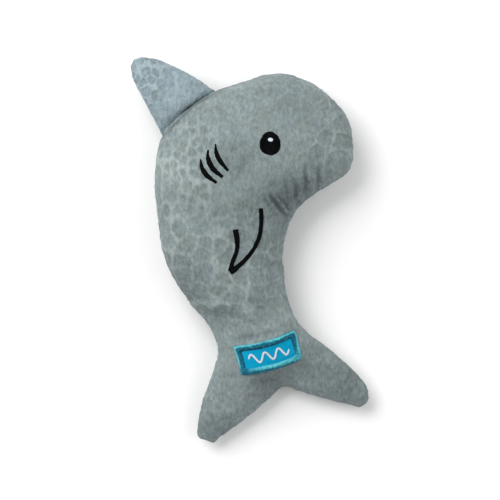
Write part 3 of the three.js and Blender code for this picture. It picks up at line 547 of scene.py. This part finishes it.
def satinStroke(name, points, halfWidth, side, values):
    # a strip along a path: across it, height = rise * sqrt(1 - s^2) with its edges sunk in the pile; each
    # thread lies across and has its own length
    _, length = arcPath(points, 10)
    count = int(length / values["step"])
    path, _ = arcPath(points, count + 1)
    forward = unit(np.gradient(path, axis=0))
    across = np.stack([-forward[:, 1], forward[:, 0]], 1)
    t = np.linspace(0, 1, count + 1)
    threads = t * length / values["thread"]
    ragged = values["ragged"] * softNoise(np.stack([threads / 2, t * 0], 1), 1.0, 11 + len(name))
    s = np.linspace(-1, 1, values["around"])
    half = np.maximum(halfWidth(t) + ragged, 0.12)
    plan = path[:, None] + across[:, None] * (half[:, None] * s[None])[..., None]
    ends = np.sqrt(np.clip(np.minimum(t, 1 - t) * length / 0.7, 0, 1))
    groove = values["groove"] * np.abs(np.sin(np.pi * threads))
    crown = np.sqrt(np.maximum(1 - s**2, 0))
    rise = (values["rise"] * ends + groove)[:, None] * crown[None] - values["sink"] * (1 - crown[None] ** 0.5)
    at = onSkin(plan, side, rise * mm).reshape(count + 1, len(s), 3)
    made = makeMesh(name, at, gridFaces(count, len(s) - 1, side == "right"))
    pointValues(made, "thread", np.repeat(t[:, None] * length, len(s), 1))
    pointValues(made, "over", np.repeat(s[None], count + 1, 0))
    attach(made, "torso")
    return made


stitchValues = {
    "step": 0.11, "thread": 0.42, "groove": 0.09, "around": 15, "rise": 0.75, "sink": 0.5, "ragged": 0.12,
}
gillPaths = {
    "front": [[-22.1, 68], [-21.6, 62.6], [-19.3, 57.3], [-13.9, 50.6]],
    "middle": [[-26.8, 64.2], [-26.8, 58.7], [-24, 52.4], [-17.5, 46.6]],
    "rear": [[-31.7, 58.3], [-30.6, 52.4], [-27.2, 47.4], [-21.4, 43]],
}
gillWidths = {"front": 3.3, "middle": 3.9, "rear": 3.4}
pectoralPaths = {
    "front": [[7.05, 26.8], [7.2, 16.8], [5.5, 7.1], [0.8, -1.6], [-4.5, -7.8], [-9.4, -11.9], [-13, -14.2]],
    "rear": [[-9.3, 13.1], [-8.2, 5.9], [-8.7, -0.7], [-11, -7.2], [-13, -13.9]],
}
stitches = {"black": [], "white": []}


def gillHalf(t, width):
    # narrow where the gill starts, widest near the middle, a little narrower at its end
    return width / 2 * (0.34 + 0.66 * smoothStep(t / 0.4)) * (1 - 0.42 * smoothStep((t - 0.55) / 0.45))


def frontHalf(t):
    # even, swelling where the two strokes meet
    return 1.5 + 0.85 * smoothStep((t - 0.8) / 0.18) - 0.35 * smoothStep((t - 0.96) / 0.04)


def rearHalf(t):
    # narrows a little over its first part
    return 1.95 - 0.4 * smoothStep(t / 0.6)


for side in ("right", "left"):
    for which, points in gillPaths.items():
        width = gillWidths[which]
        made = satinStroke(
            "gill_" + which + "_" + side, points, lambda t, width=width: gillHalf(t, width),
            side, stitchValues)
        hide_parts("gill_stitch_" + which + "_" + side)
        stitches["black"].append(made)
    frontFin = satinStroke("pectoral_front_" + side, pectoralPaths["front"], frontHalf, side, stitchValues)
    rearFin = satinStroke("pectoral_rear_" + side, pectoralPaths["rear"], rearHalf, side, stitchValues)
    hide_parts("pectoral_stitch_" + side)
    stitches["black"] += [frontFin, rearFin]
print("gills and pectoral fins stitched")

eyeValues = {
    "at": [12.9, 68.3], "width": 13.6, "height": 15.6, "taper": 0.1, "rise": 1.15,
    "rows": 150, "thread": 0.45,
    "glintAt": [13.0, 70.5], "glintWidth": 3.5, "glintHeight": 2.5, "glintRise": 0.35, "glintRows": 40,
}


def satinOval(name, middle, width, height, taper, rise, rows, side, base):
    # a disc from a square: x = s sqrt(1 - t^2 / 2), y = t sqrt(1 - s^2 / 2); domed as (1 - r^2)^0.35,
    # sunk at its edge and ribbed by threads that lie across it
    s, t = np.meshgrid(np.linspace(-1, 1, rows + 1), np.linspace(-1, 1, rows + 1), indexing="ij")
    x, y = s * np.sqrt(1 - t**2 / 2), t * np.sqrt(1 - s**2 / 2)
    r = np.clip(np.hypot(x, y), 0, 1)
    turn = np.arctan2(y, x)
    uneven = 1 + 0.035 * softNoise(np.stack([np.cos(turn) * 9, np.sin(turn) * 9], -1), 1.0, 5)
    plan = np.stack([x * uneven * width / 2 * (1 - taper * y), y * uneven * height / 2], -1)
    plan = plan + np.array(middle)
    groove = stitchValues["groove"] * np.abs(np.sin(np.pi * y * height / 2 / eyeValues["thread"]))
    lift = base + (rise + groove) * np.sqrt(1 - r**2) ** 0.7 - 0.5 * np.maximum(r - 0.93, 0) / 0.07
    at = onSkin(plan, side, lift * mm).reshape(rows + 1, rows + 1, 3)
    made = makeMesh(name, at, gridFaces(rows, rows, side == "left"))
    pointValues(made, "thread", plan[..., 1])
    pointValues(made, "over", x)
    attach(made, "torso")
    return made


for side in ("right", "left"):
    eye = satinOval(
        "eye_" + side, eyeValues["at"], eyeValues["width"], eyeValues["height"],
        eyeValues["taper"], eyeValues["rise"], eyeValues["rows"], side, 0)
    glint = satinOval(
        "eye_glint_" + side, eyeValues["glintAt"], eyeValues["glintWidth"], eyeValues["glintHeight"],
        0, eyeValues["glintRise"], eyeValues["glintRows"], side, eyeValues["rise"] * 0.93)
    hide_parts("eye_stitch_" + side)
    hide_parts("eye_glint_" + side)
    stitches["black"].append(eye)
    stitches["white"].append(glint)
print("eyes stitched")

labelValues = {
    "at": [11.3, -66.3], "turn": 15.2, "width": 41.0, "height": 20.8, "sag": 2.0, "bowOut": 0.5,
    "border": 4.6, "borderRise": 2.0, "borderThread": 0.55, "tuckedIn": 2.6, "patchRise": 0.45,
    "motifLength": 26.5, "motifSwing": 3.0, "motifWidth": 1.4, "motifRise": 0.5,
}


def onLabel(x, y):
    # label millimetres to the pattern: the long edges dip in the middle, then the label is turned
    turn = math.radians(labelValues["turn"])
    high = 2 * y / labelValues["height"]
    y = y - (labelValues["sag"] + 0.7 * high) * (1 - (2 * x / labelValues["width"]) ** 2)
    x = x + labelValues["bowOut"] * (1 - high**2)
    turned = np.stack([x * math.cos(turn) - y * math.sin(turn), x * math.sin(turn) + y * math.cos(turn)], -1)
    return turned + np.array(labelValues["at"])


def labelPatch():
    # a flat sheet over the label's inside, dished a little towards the middle
    columns, rows = 120, 60
    x, y = np.meshgrid(np.linspace(-1, 1, columns + 1), np.linspace(-1, 1, rows + 1), indexing="ij")
    inX = labelValues["width"] / 2 - labelValues["tuckedIn"]
    inY = labelValues["height"] / 2 - labelValues["tuckedIn"]
    rumple = 0.12 * softNoise(np.stack([x * 6, y * 3], -1), 1.0, 21)
    lift = labelValues["patchRise"] + 0.25 * (x**2 + y**2) + rumple
    at = onSkin(onLabel(x * inX, y * inY), "right", lift * mm).reshape(columns + 1, rows + 1, 3)
    made = makeMesh("label_ground", at, gridFaces(columns, rows))
    pointValues(made, "weaveX", x * inX)
    pointValues(made, "weaveY", y * inY)
    return made


def labelFrame():
    # a closed strip round the label: height = rise * (1 - s^2)^0.55 / (1 + 0.1 s) across it, s being -1 at
    # its outer edge, and both edges sink into the pile
    w, h, band = labelValues["width"] / 2, labelValues["height"] / 2, labelValues["border"]
    count, around, roundness = 900, 17, 0.075
    turn = np.linspace(0, 2 * np.pi, count, endpoint=False)

    def ring(halfX, halfY):
        # a box with rounded corners: |x|^(1 / roundness) + |y|^(1 / roundness) = 1, scaled to its half sides
        x, y = np.cos(turn), np.sin(turn)
        big = (np.abs(x) ** (1 / roundness) + np.abs(y) ** (1 / roundness)) ** roundness
        return np.stack([x / big * halfX, y / big * halfY], -1)

    s = np.linspace(-1, 1, around)
    outer, inner = ring(w, h), ring(w - band, h - band)
    run = np.cumsum(np.linalg.norm(np.roll(outer, -1, 0) - outer, axis=1))
    mix = (s + 1) / 2
    box = outer[:, None] * (1 - mix)[None, :, None] + inner[:, None] * mix[None, :, None]
    ragged = 0.16 * softNoise(np.stack([run / 0.9, run * 0], 1), 1.0, 31)
    outwards = unit(outer - inner)
    box = box + outwards[:, None] * (ragged[:, None] * (1 - mix)[None])[..., None]
    groove = 0.12 * np.abs(np.sin(np.pi * run / labelValues["borderThread"]))
    crown = np.maximum(1 - s**2, 0) ** 0.55 / (1 + 0.1 * s)
    rise = (labelValues["borderRise"] + groove)[:, None] * crown[None] - 0.45 * (np.abs(s) ** 6)[None]
    at = onSkin(onLabel(box[..., 0], box[..., 1]), "right", rise * mm).reshape(count, around, 3)
    ids = np.arange(count * around).reshape(count, around)
    following = np.roll(ids, -1, 0)
    quads = np.stack([ids[:, :-1], ids[:, 1:], following[:, 1:], following[:, :-1]], -1).reshape(-1, 4)
    made = makeMesh("label_frame", at, quads[:, ::-1])
    # painted highlight and painted shade as from a light at the upper left: the highlight on the outer slope
    # of both ends and of the upper side and on the inner slope of the lower, with more painted shade over the
    # upper side, most towards its middle
    facingLight = outwards[:, 1:] + 0.9 * np.abs(outwards[:, :1])
    over = s[None] * facingLight - 0.25 * np.maximum(outwards[:, :1], 0)
    nearMiddle = smoothStep((9 - np.abs(outer[:, :1] + 4)) / 9)
    over = over + np.maximum(outwards[:, 1:], 0) * (0.5 + 0.18 * nearMiddle)
    pointValues(made, "thread", np.repeat(run[:, None], around, 1))
    pointValues(made, "over", over)
    return made


def labelWave():
    # a raised stitched line y = motifSwing * sin(6 pi t) along the label, its ends rounded
    count, around = 420, 11
    t = np.linspace(0, 1, count + 1)
    swing = labelValues["motifSwing"] * np.sin(6 * np.pi * t)
    line = np.stack([(t - 0.5) * labelValues["motifLength"], swing], -1)
    forward = unit(np.gradient(line, axis=0))
    across = np.stack([-forward[:, 1], forward[:, 0]], -1)
    s = np.linspace(-1, 1, around)
    ends = np.sqrt(np.clip(np.minimum(t, 1 - t) / 0.02, 0, 1))
    half = labelValues["motifWidth"] / 2 * ends
    plan = line[:, None] + across[:, None] * (half[:, None] * s[None])[..., None]
    crown = np.sqrt(np.maximum(1 - s**2, 0))
    lift = labelValues["patchRise"] + 0.1 + labelValues["motifRise"] * crown[None] * ends[:, None]
    at = onSkin(onLabel(plan[..., 0], plan[..., 1]), "right", lift * mm).reshape(count + 1, around, 3)
    made = makeMesh("label_wave_line", at, gridFaces(count, around - 1, True))
    pointValues(made, "thread", np.repeat(t[:, None] * 60, around, 1))
    pointValues(made, "over", np.repeat(s[None], count + 1, 0))
    return made


ground, border, wave = labelPatch(), labelFrame(), labelWave()
for piece, node in ((ground, "label_patch"), (border, "label_border"), (wave, "label_wave")):
    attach(piece, "tail")
    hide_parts(node)
print("label sewn on")


# The fleece and fin sheets are set in the frame as they are, and the CAD's panels, stuffing and seam threads
# that they stand for are hidden.
for side in ("right", "left"):
    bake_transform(skins[side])
    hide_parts("torso_panel_" + side, "tail_panel_" + side)
for side in ("right", "left"):
    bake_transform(finSkins[side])
    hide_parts("fin_panel_" + side)
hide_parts("belly_stuffing_right", "head_stuffing", "torso_seam_thread")
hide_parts("belly_stuffing_left", "tail_stuffing", "tail_seam_thread")
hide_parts("fin_stuffing", "fin_seam_thread")


def newGroup(name, colours, numbers):
    # a group that takes the named colours and numbers and gives a colour and a normal
    tree = bpy.data.node_groups.new(name, "ShaderNodeTree")
    for label in colours:
        tree.interface.new_socket(label, in_out="INPUT", socket_type="NodeSocketColor")
    for label, value in numbers.items():
        socket = tree.interface.new_socket(label, in_out="INPUT", socket_type="NodeSocketFloat")
        socket.default_value = value
    for label, kind in (("Colour", "NodeSocketColor"), ("Normal", "NodeSocketVector")):
        tree.interface.new_socket(label, in_out="OUTPUT", socket_type=kind)
    return tree, tree.nodes.new("NodeGroupInput"), tree.nodes.new("NodeGroupOutput")


def addNode(tree, kind, **settings):
    node = tree.nodes.new(kind)
    for key, value in settings.items():
        setattr(node, key, value)
    return node


def mathNode(tree, operation, a, b=None, clamp=False):
    node = addNode(tree, "ShaderNodeMath", operation=operation, use_clamp=clamp)
    for socket, value in zip(node.inputs, (a, b)):
        if isinstance(value, (int, float)):
            socket.default_value = value
        elif value is not None:
            tree.links.new(value, socket)
    return node.outputs[0]


def mixColour(tree, share, a, b):
    node = addNode(tree, "ShaderNodeMix", data_type="RGBA")
    for socket, value in ((node.inputs[0], share), (node.inputs[6], a), (node.inputs[7], b)):
        if isinstance(value, (int, float, tuple)):
            socket.default_value = value
        else:
            tree.links.new(value, socket)
    return node.outputs[2]


def scaled(tree, a, b, clamp=False):
    return mathNode(tree, "MULTIPLY", a, b, clamp)


def centred(tree, noise, gain):
    # noise about 0 in place of 0.5, times the gain
    return scaled(tree, mathNode(tree, "SUBTRACT", noise, 0.5), gain)


def objectPlace(tree):
    return addNode(tree, "ShaderNodeTexCoord").outputs["Object"]


def noiseAt(tree, coordinates, stretch, detail=3.0, rough=0.55):
    mapping = addNode(tree, "ShaderNodeMapping")
    mapping.inputs["Scale"].default_value = stretch
    tree.links.new(coordinates, mapping.inputs[0])
    noise = addNode(tree, "ShaderNodeTexNoise")
    noise.inputs["Scale"].default_value = 1.0
    noise.inputs["Detail"].default_value = detail
    noise.inputs["Roughness"].default_value = rough
    tree.links.new(mapping.outputs[0], noise.inputs["Vector"])
    return noise.outputs["Fac"]


def finishGroup(tree, given, result, colour, height, distance):
    # the group's two outputs: its colour, and a normal bumped by the height
    tree.links.new(colour, result.inputs["Colour"])
    bump = addNode(tree, "ShaderNodeBump")
    bump.inputs["Distance"].default_value = distance
    tree.links.new(given.outputs["Relief"], bump.inputs["Strength"])
    tree.links.new(height, bump.inputs["Height"])
    tree.links.new(bump.outputs[0], result.inputs["Normal"])
    return tree


def plushPileGroup():
    # short brushed pile: streaks along the nap, broad cooler and warmer clouds, a painted highlight on the
    # lines between the pebbles and painted shade in their hollows, painted shade in the creases that turns
    # nearly black where it is deeper than 1, and patches that are partly the nap's lie and partly painted
    # light and shade
    tree, given, result = newGroup(
        "plushPile", ("Colour", "Cool", "TipAndHighlight", "RootAndShade"),
        {"Streak": 0.5, "PaintedRidgeHighlight": 0.0, "PaintedHollowShade": 0.0, "PaintedCreaseShade": 0.0, "NapAndPaintedLight": 0.0, "Relief": 0.5})
    coordinates = objectPlace(tree)
    streak = noiseAt(tree, coordinates, (470, 270, 400), 4.0, 0.55)
    fibre = noiseAt(tree, coordinates, (1500, 1000, 1300), 2.0, 0.6)
    cloud = noiseAt(tree, coordinates, (120, 90, 100), 3.0, 0.6)
    light = scaled(tree, centred(tree, streak, given.outputs["Streak"]), 3.2)
    light = mathNode(tree, "ADD", light, centred(tree, fibre, 0.85))
    light = mathNode(tree, "ADD", light, centred(tree, cloud, 0.8))
    for label, gain in (("PaintedRidgeHighlight", 0.3), ("PaintedHollowShade", -0.3), ("PaintedCreaseShade", -0.85), ("NapAndPaintedLight", 1.0)):
        light = mathNode(tree, "ADD", light, scaled(tree, given.outputs[label], gain))
    cooler = scaled(tree, mathNode(tree, "SUBTRACT", cloud, 0.3), 2.0, True)
    colour = mixColour(tree, cooler, given.outputs["Colour"], given.outputs["Cool"])
    # the pile's tip colour, also used as painted highlight, and its root colour, also used as painted shade
    colour = mixColour(tree, scaled(tree, light, 1.0, True), colour, given.outputs["TipAndHighlight"])
    colour = mixColour(tree, scaled(tree, light, -1.0, True), colour, given.outputs["RootAndShade"])
    # painted shade that turns nearly black in the deepest creases
    deepCreaseShade = scaled(tree, mathNode(tree, "SUBTRACT", given.outputs["PaintedCreaseShade"], 1.0), 0.9, True)
    colour = mixColour(tree, deepCreaseShade, colour, (0.006, 0.009, 0.011, 1))
    raised = mathNode(tree, "ADD", scaled(tree, streak, 0.6), scaled(tree, fibre, 0.4))
    return finishGroup(tree, given, result, colour, raised, 0.0008)


def satinThreadGroup():
    # parallel threads laid over a stroke: a line of painted shade between each two, painted shade at its
    # edges, and a band of painted highlight = 1 - (2.15 (over - band))^2 that runs along it, flecked at
    # random
    tree, given, result = newGroup(
        "satinThread", ("Colour", "Shade", "Shine"),
        {"Along": 0.0, "Over": 0.0, "Band": 0.0, "Lustre": 0.3, "Thread": 0.42, "Relief": 0.5})
    colour, shade = given.outputs["Colour"], given.outputs["Shade"]
    uneven = noiseAt(tree, objectPlace(tree), (650, 650, 650), 3.0, 0.6)
    phase = mathNode(tree, "DIVIDE", given.outputs["Along"], given.outputs["Thread"])
    phase = mathNode(tree, "ADD", phase, scaled(tree, uneven, 0.7))
    wave = mathNode(tree, "ABSOLUTE", mathNode(tree, "SINE", scaled(tree, phase, math.pi)))
    between = mathNode(tree, "POWER", mathNode(tree, "SUBTRACT", 1.0, wave), 2.0)
    colour = mixColour(tree, scaled(tree, between, 0.75, True), colour, shade)
    edge = mathNode(tree, "POWER", mathNode(tree, "ABSOLUTE", given.outputs["Over"]), 6.0)
    colour = mixColour(tree, scaled(tree, edge, 0.6, True), colour, shade)
    off = scaled(tree, mathNode(tree, "SUBTRACT", given.outputs["Over"], given.outputs["Band"]), 2.15)
    band = mathNode(tree, "SUBTRACT", 1.0, scaled(tree, off, off), True)
    lustre = scaled(tree, band, given.outputs["Lustre"])
    lustre = mathNode(tree, "ADD", lustre, centred(tree, uneven, 1.7), True)
    onThread = mathNode(tree, "ADD", scaled(tree, wave, 0.6), 0.4)
    colour = mixColour(tree, scaled(tree, lustre, onThread), colour, given.outputs["Shine"])
    height = mathNode(tree, "ADD", wave, scaled(tree, uneven, 0.5))
    return finishGroup(tree, given, result, colour, height, 0.00025)


def wovenGroundGroup():
    # plain weave: warp and weft threads pass over each other like a chequerboard of small pillows,
    # height = (sin(pi x / pitch) sin(pi y / pitch) + 1) / 2
    tree, given, result = newGroup(
        "wovenGround", ("Colour", "Shade"), {"X": 0.0, "Y": 0.0, "Pitch": 0.35, "Relief": 0.5})
    waves = []
    for axis in ("X", "Y"):
        turn = scaled(tree, mathNode(tree, "DIVIDE", given.outputs[axis], given.outputs["Pitch"]), math.pi)
        waves.append(mathNode(tree, "SINE", turn))
    weave = mathNode(tree, "ADD", scaled(tree, scaled(tree, *waves), 0.5), 0.5)
    fade = noiseAt(tree, objectPlace(tree), (300, 300, 300), 2.0, 0.5)
    # painted shade where the threads dip, mixed with a random fade
    low = scaled(tree, mathNode(tree, "SUBTRACT", 1.0, weave), 0.4)
    share = mathNode(tree, "ADD", low, centred(tree, fade, 0.8), True)
    colour = mixColour(tree, share, given.outputs["Colour"], given.outputs["Shade"])
    return finishGroup(tree, given, result, colour, weave, 0.0001)


groups = {"plushPile": plushPileGroup(), "satinThread": satinThreadGroup(), "wovenGround": wovenGroundGroup()}


def linear(r, g, b):
    # screen colour from 0 to 255 to linear light
    c = np.array([r, g, b]) / 255
    c = np.where(c <= 0.04045, c / 12.92, ((c + 0.055) / 1.055) ** 2.4)
    return (float(c[0]), float(c[1]), float(c[2]), 1.0)


def newMaterial(name):
    material = bpy.data.materials.new(name)
    material.use_nodes = True
    return material, material.node_tree, material.node_tree.nodes["Principled BSDF"]


def groupMaterial(name, group, colours, attributes, numbers, shader):
    # one Principled shader fed by one of the groups, with the piece's own attributes wired in
    material, tree, principled = newMaterial(name)
    node = addNode(tree, "ShaderNodeGroup", node_tree=groups[group])
    for label, rgb in colours.items():
        node.inputs[label].default_value = linear(*rgb)
    for label, value in numbers.items():
        node.inputs[label].default_value = value
    for label, attribute in attributes.items():
        source = addNode(tree, "ShaderNodeAttribute", attribute_name=attribute)
        tree.links.new(source.outputs["Fac"], node.inputs[label])
    tree.links.new(node.outputs["Colour"], principled.inputs["Base Color"])
    tree.links.new(node.outputs["Normal"], principled.inputs["Normal"])
    for label, value in shader.items():
        principled.inputs[label].default_value = value
    return material


def cloudyMaterial(name, light, dark, stretch, detail, rough):
    # plain stuff with a faint cloudiness between two colours
    material, tree, principled = newMaterial(name)
    cloud = noiseAt(tree, objectPlace(tree), (stretch, stretch, stretch), detail, 0.5)
    tree.links.new(mixColour(tree, cloud, light, dark), principled.inputs["Base Color"])
    principled.inputs["Roughness"].default_value = rough
    return material, principled


fleeceLook = {
    "Roughness": 0.95, "Specular IOR Level": 0.12, "Sheen Weight": 0.12, "Sheen Roughness": 0.6,
    "Sheen Tint": (0.75, 0.85, 0.87, 1),
}
pebbleWires = {"PaintedRidgeHighlight": "ridge", "PaintedHollowShade": "hollow", "PaintedCreaseShade": "painted_crease_shade", "NapAndPaintedLight": "nap_and_painted_light"}
threadWires = {"Along": "thread", "Over": "over"}
fleece = groupMaterial(
    "greyFleece", "plushPile",
    {"Colour": (128, 138, 136), "Cool": (122, 135, 140), "TipAndHighlight": (166, 177, 175), "RootAndShade": (84, 93, 94)},
    pebbleWires, {"Streak": 0.54, "Relief": 1.0}, fleeceLook)
# a lighter, bluer copy of the body's fleece: painted light on the fin
paintedLightFinFleece = groupMaterial(
    "paintedLightFinFleece", "plushPile",
    {"Colour": (134, 149, 153), "Cool": (136, 155, 165), "TipAndHighlight": (174, 188, 191), "RootAndShade": (92, 104, 108)},
    pebbleWires, {"Streak": 0.54, "Relief": 1.0}, fleeceLook)
blackThread = groupMaterial(
    "blackSatin", "satinThread", {"Colour": (7, 8, 9), "Shade": (2, 2, 3), "Shine": (24, 25, 27)},
    threadWires, {"Thread": 0.42, "Relief": 0.6}, {"Roughness": 0.85, "Specular IOR Level": 0.04})
whiteThread = groupMaterial(
    "whiteSatin", "satinThread",
    {"Colour": (212, 222, 230), "Shade": (162, 174, 186), "Shine": (238, 244, 248)},
    threadWires, {"Thread": 0.42, "Relief": 0.5}, {"Roughness": 0.45, "Specular IOR Level": 0.4})
cyanThread = groupMaterial(
    "cyanSatin", "satinThread", {"Colour": (0, 104, 132), "Shade": (0, 56, 80), "Shine": (112, 224, 234)},
    threadWires, {"Thread": 0.55, "Relief": 0.8, "Band": -0.5, "Lustre": 0.85},
    {"Roughness": 0.5, "Specular IOR Level": 0.2})
blueWeave = groupMaterial(
    "blueWeave", "wovenGround", {"Colour": (0, 156, 196), "Shade": (0, 116, 166)},
    {"X": "weaveX", "Y": "weaveY"}, {"Pitch": 0.3, "Relief": 0.5},
    {"Roughness": 0.7, "Specular IOR Level": 0.1})

mouldedLooks = {
    "squeakerPlastic": {"rgb": (233, 228, 214), "rough": 0.5},
    "whistlePlastic": {"rgb": (185, 189, 192), "rough": 0.35},
    "greyThread": {"rgb": (84, 94, 96), "rough": 0.9},
}
moulded = {}
for name, look in mouldedLooks.items():
    light = linear(*look["rgb"])
    dull = tuple(c * 0.82 for c in light[:3]) + (1.0,)
    moulded[name], _ = cloudyMaterial(name, light, dull, 220, 3.0, look["rough"])


def dress(obj, material):
    obj.data.materials.clear()
    obj.data.materials.append(material)


for side in ("right", "left"):
    dress(skins[side], fleece)
    dress(finSkins[side], paintedLightFinFleece)
for piece in stitches["black"]:
    dress(piece, blackThread)
for piece in stitches["white"]:
    dress(piece, whiteThread)
dress(ground, blueWeave)
dress(border, cyanThread)
dress(wave, whiteThread)
for node, name in (
        ("squeaker_cup", "squeakerPlastic"), ("squeaker_dome", "squeakerPlastic"),
        ("squeaker_whistle", "whistlePlastic"), ("squeaker_reed", "whistlePlastic"),
        ("fin_joining_thread", "greyThread")):
    dress(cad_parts[node], moulded[name])
print("materials done")


floorMesh = makeMesh("floor", [[-3, -3, 0], [3, -3, 0], [3, 3, 0], [-3, 3, 0]], [[0, 1, 2, 3]])
floorPaper, paper = cloudyMaterial("floorPaper", (0.93, 0.93, 0.93, 1), (0.95, 0.95, 0.95, 1), 3, 2.0, 0.9)
paper.inputs["Specular IOR Level"].default_value = 0.0
floorMesh.data.materials.append(floorPaper)

lightValues = {
    "key": {"at": (-0.9, 0.9, 1.3), "size": 1.4, "power": 30.0, "colour": (1.0, 0.995, 0.985)},
    "fill": {"at": (1.3, 0.1, 1.1), "size": 1.5, "power": 7.0, "colour": (1.0, 1.0, 1.0)},
    "aimedAt": (0, 0, 0.02), "sky": 0.55,
}
for name in ("key", "fill"):
    values = lightValues[name]
    lamp = bpy.data.lights.new(name, "AREA")
    lamp.size = values["size"]
    lamp.energy = values["power"]
    lamp.color = values["colour"]
    lampObject = bpy.data.objects.new(name, lamp)
    lampObject.location = values["at"]
    aim = np.array(lightValues["aimedAt"]) - np.array(values["at"])
    tilt = math.atan2(math.hypot(aim[0], aim[1]), -aim[2])
    lampObject.rotation_euler = (tilt, 0, math.atan2(aim[1], aim[0]) - math.pi / 2)
    bpy.context.scene.collection.objects.link(lampObject)
world = bpy.data.worlds.new("studio")
world.use_nodes = True
world.node_tree.nodes["Background"].inputs[0].default_value = (1, 1, 1, 1)
world.node_tree.nodes["Background"].inputs[1].default_value = lightValues["sky"]
bpy.context.scene.world = world
bpy.context.scene.view_settings.view_transform = "Standard"

cameraValues = {"lens": 200.0, "sensor": 36.0, "across": 0.325, "planeHeight": 0.022}
cameraData = bpy.data.cameras.new("camera")
cameraData.lens = cameraValues["lens"]
cameraData.sensor_width = cameraValues["sensor"]
camera = bpy.data.objects.new("camera", cameraData)
away = cameraValues["across"] * cameraValues["lens"] / cameraValues["sensor"]
camera.location = (0, 0, cameraValues["planeHeight"] + away)
bpy.context.scene.collection.objects.link(camera)
bpy.context.scene.camera = camera
print("stage set")
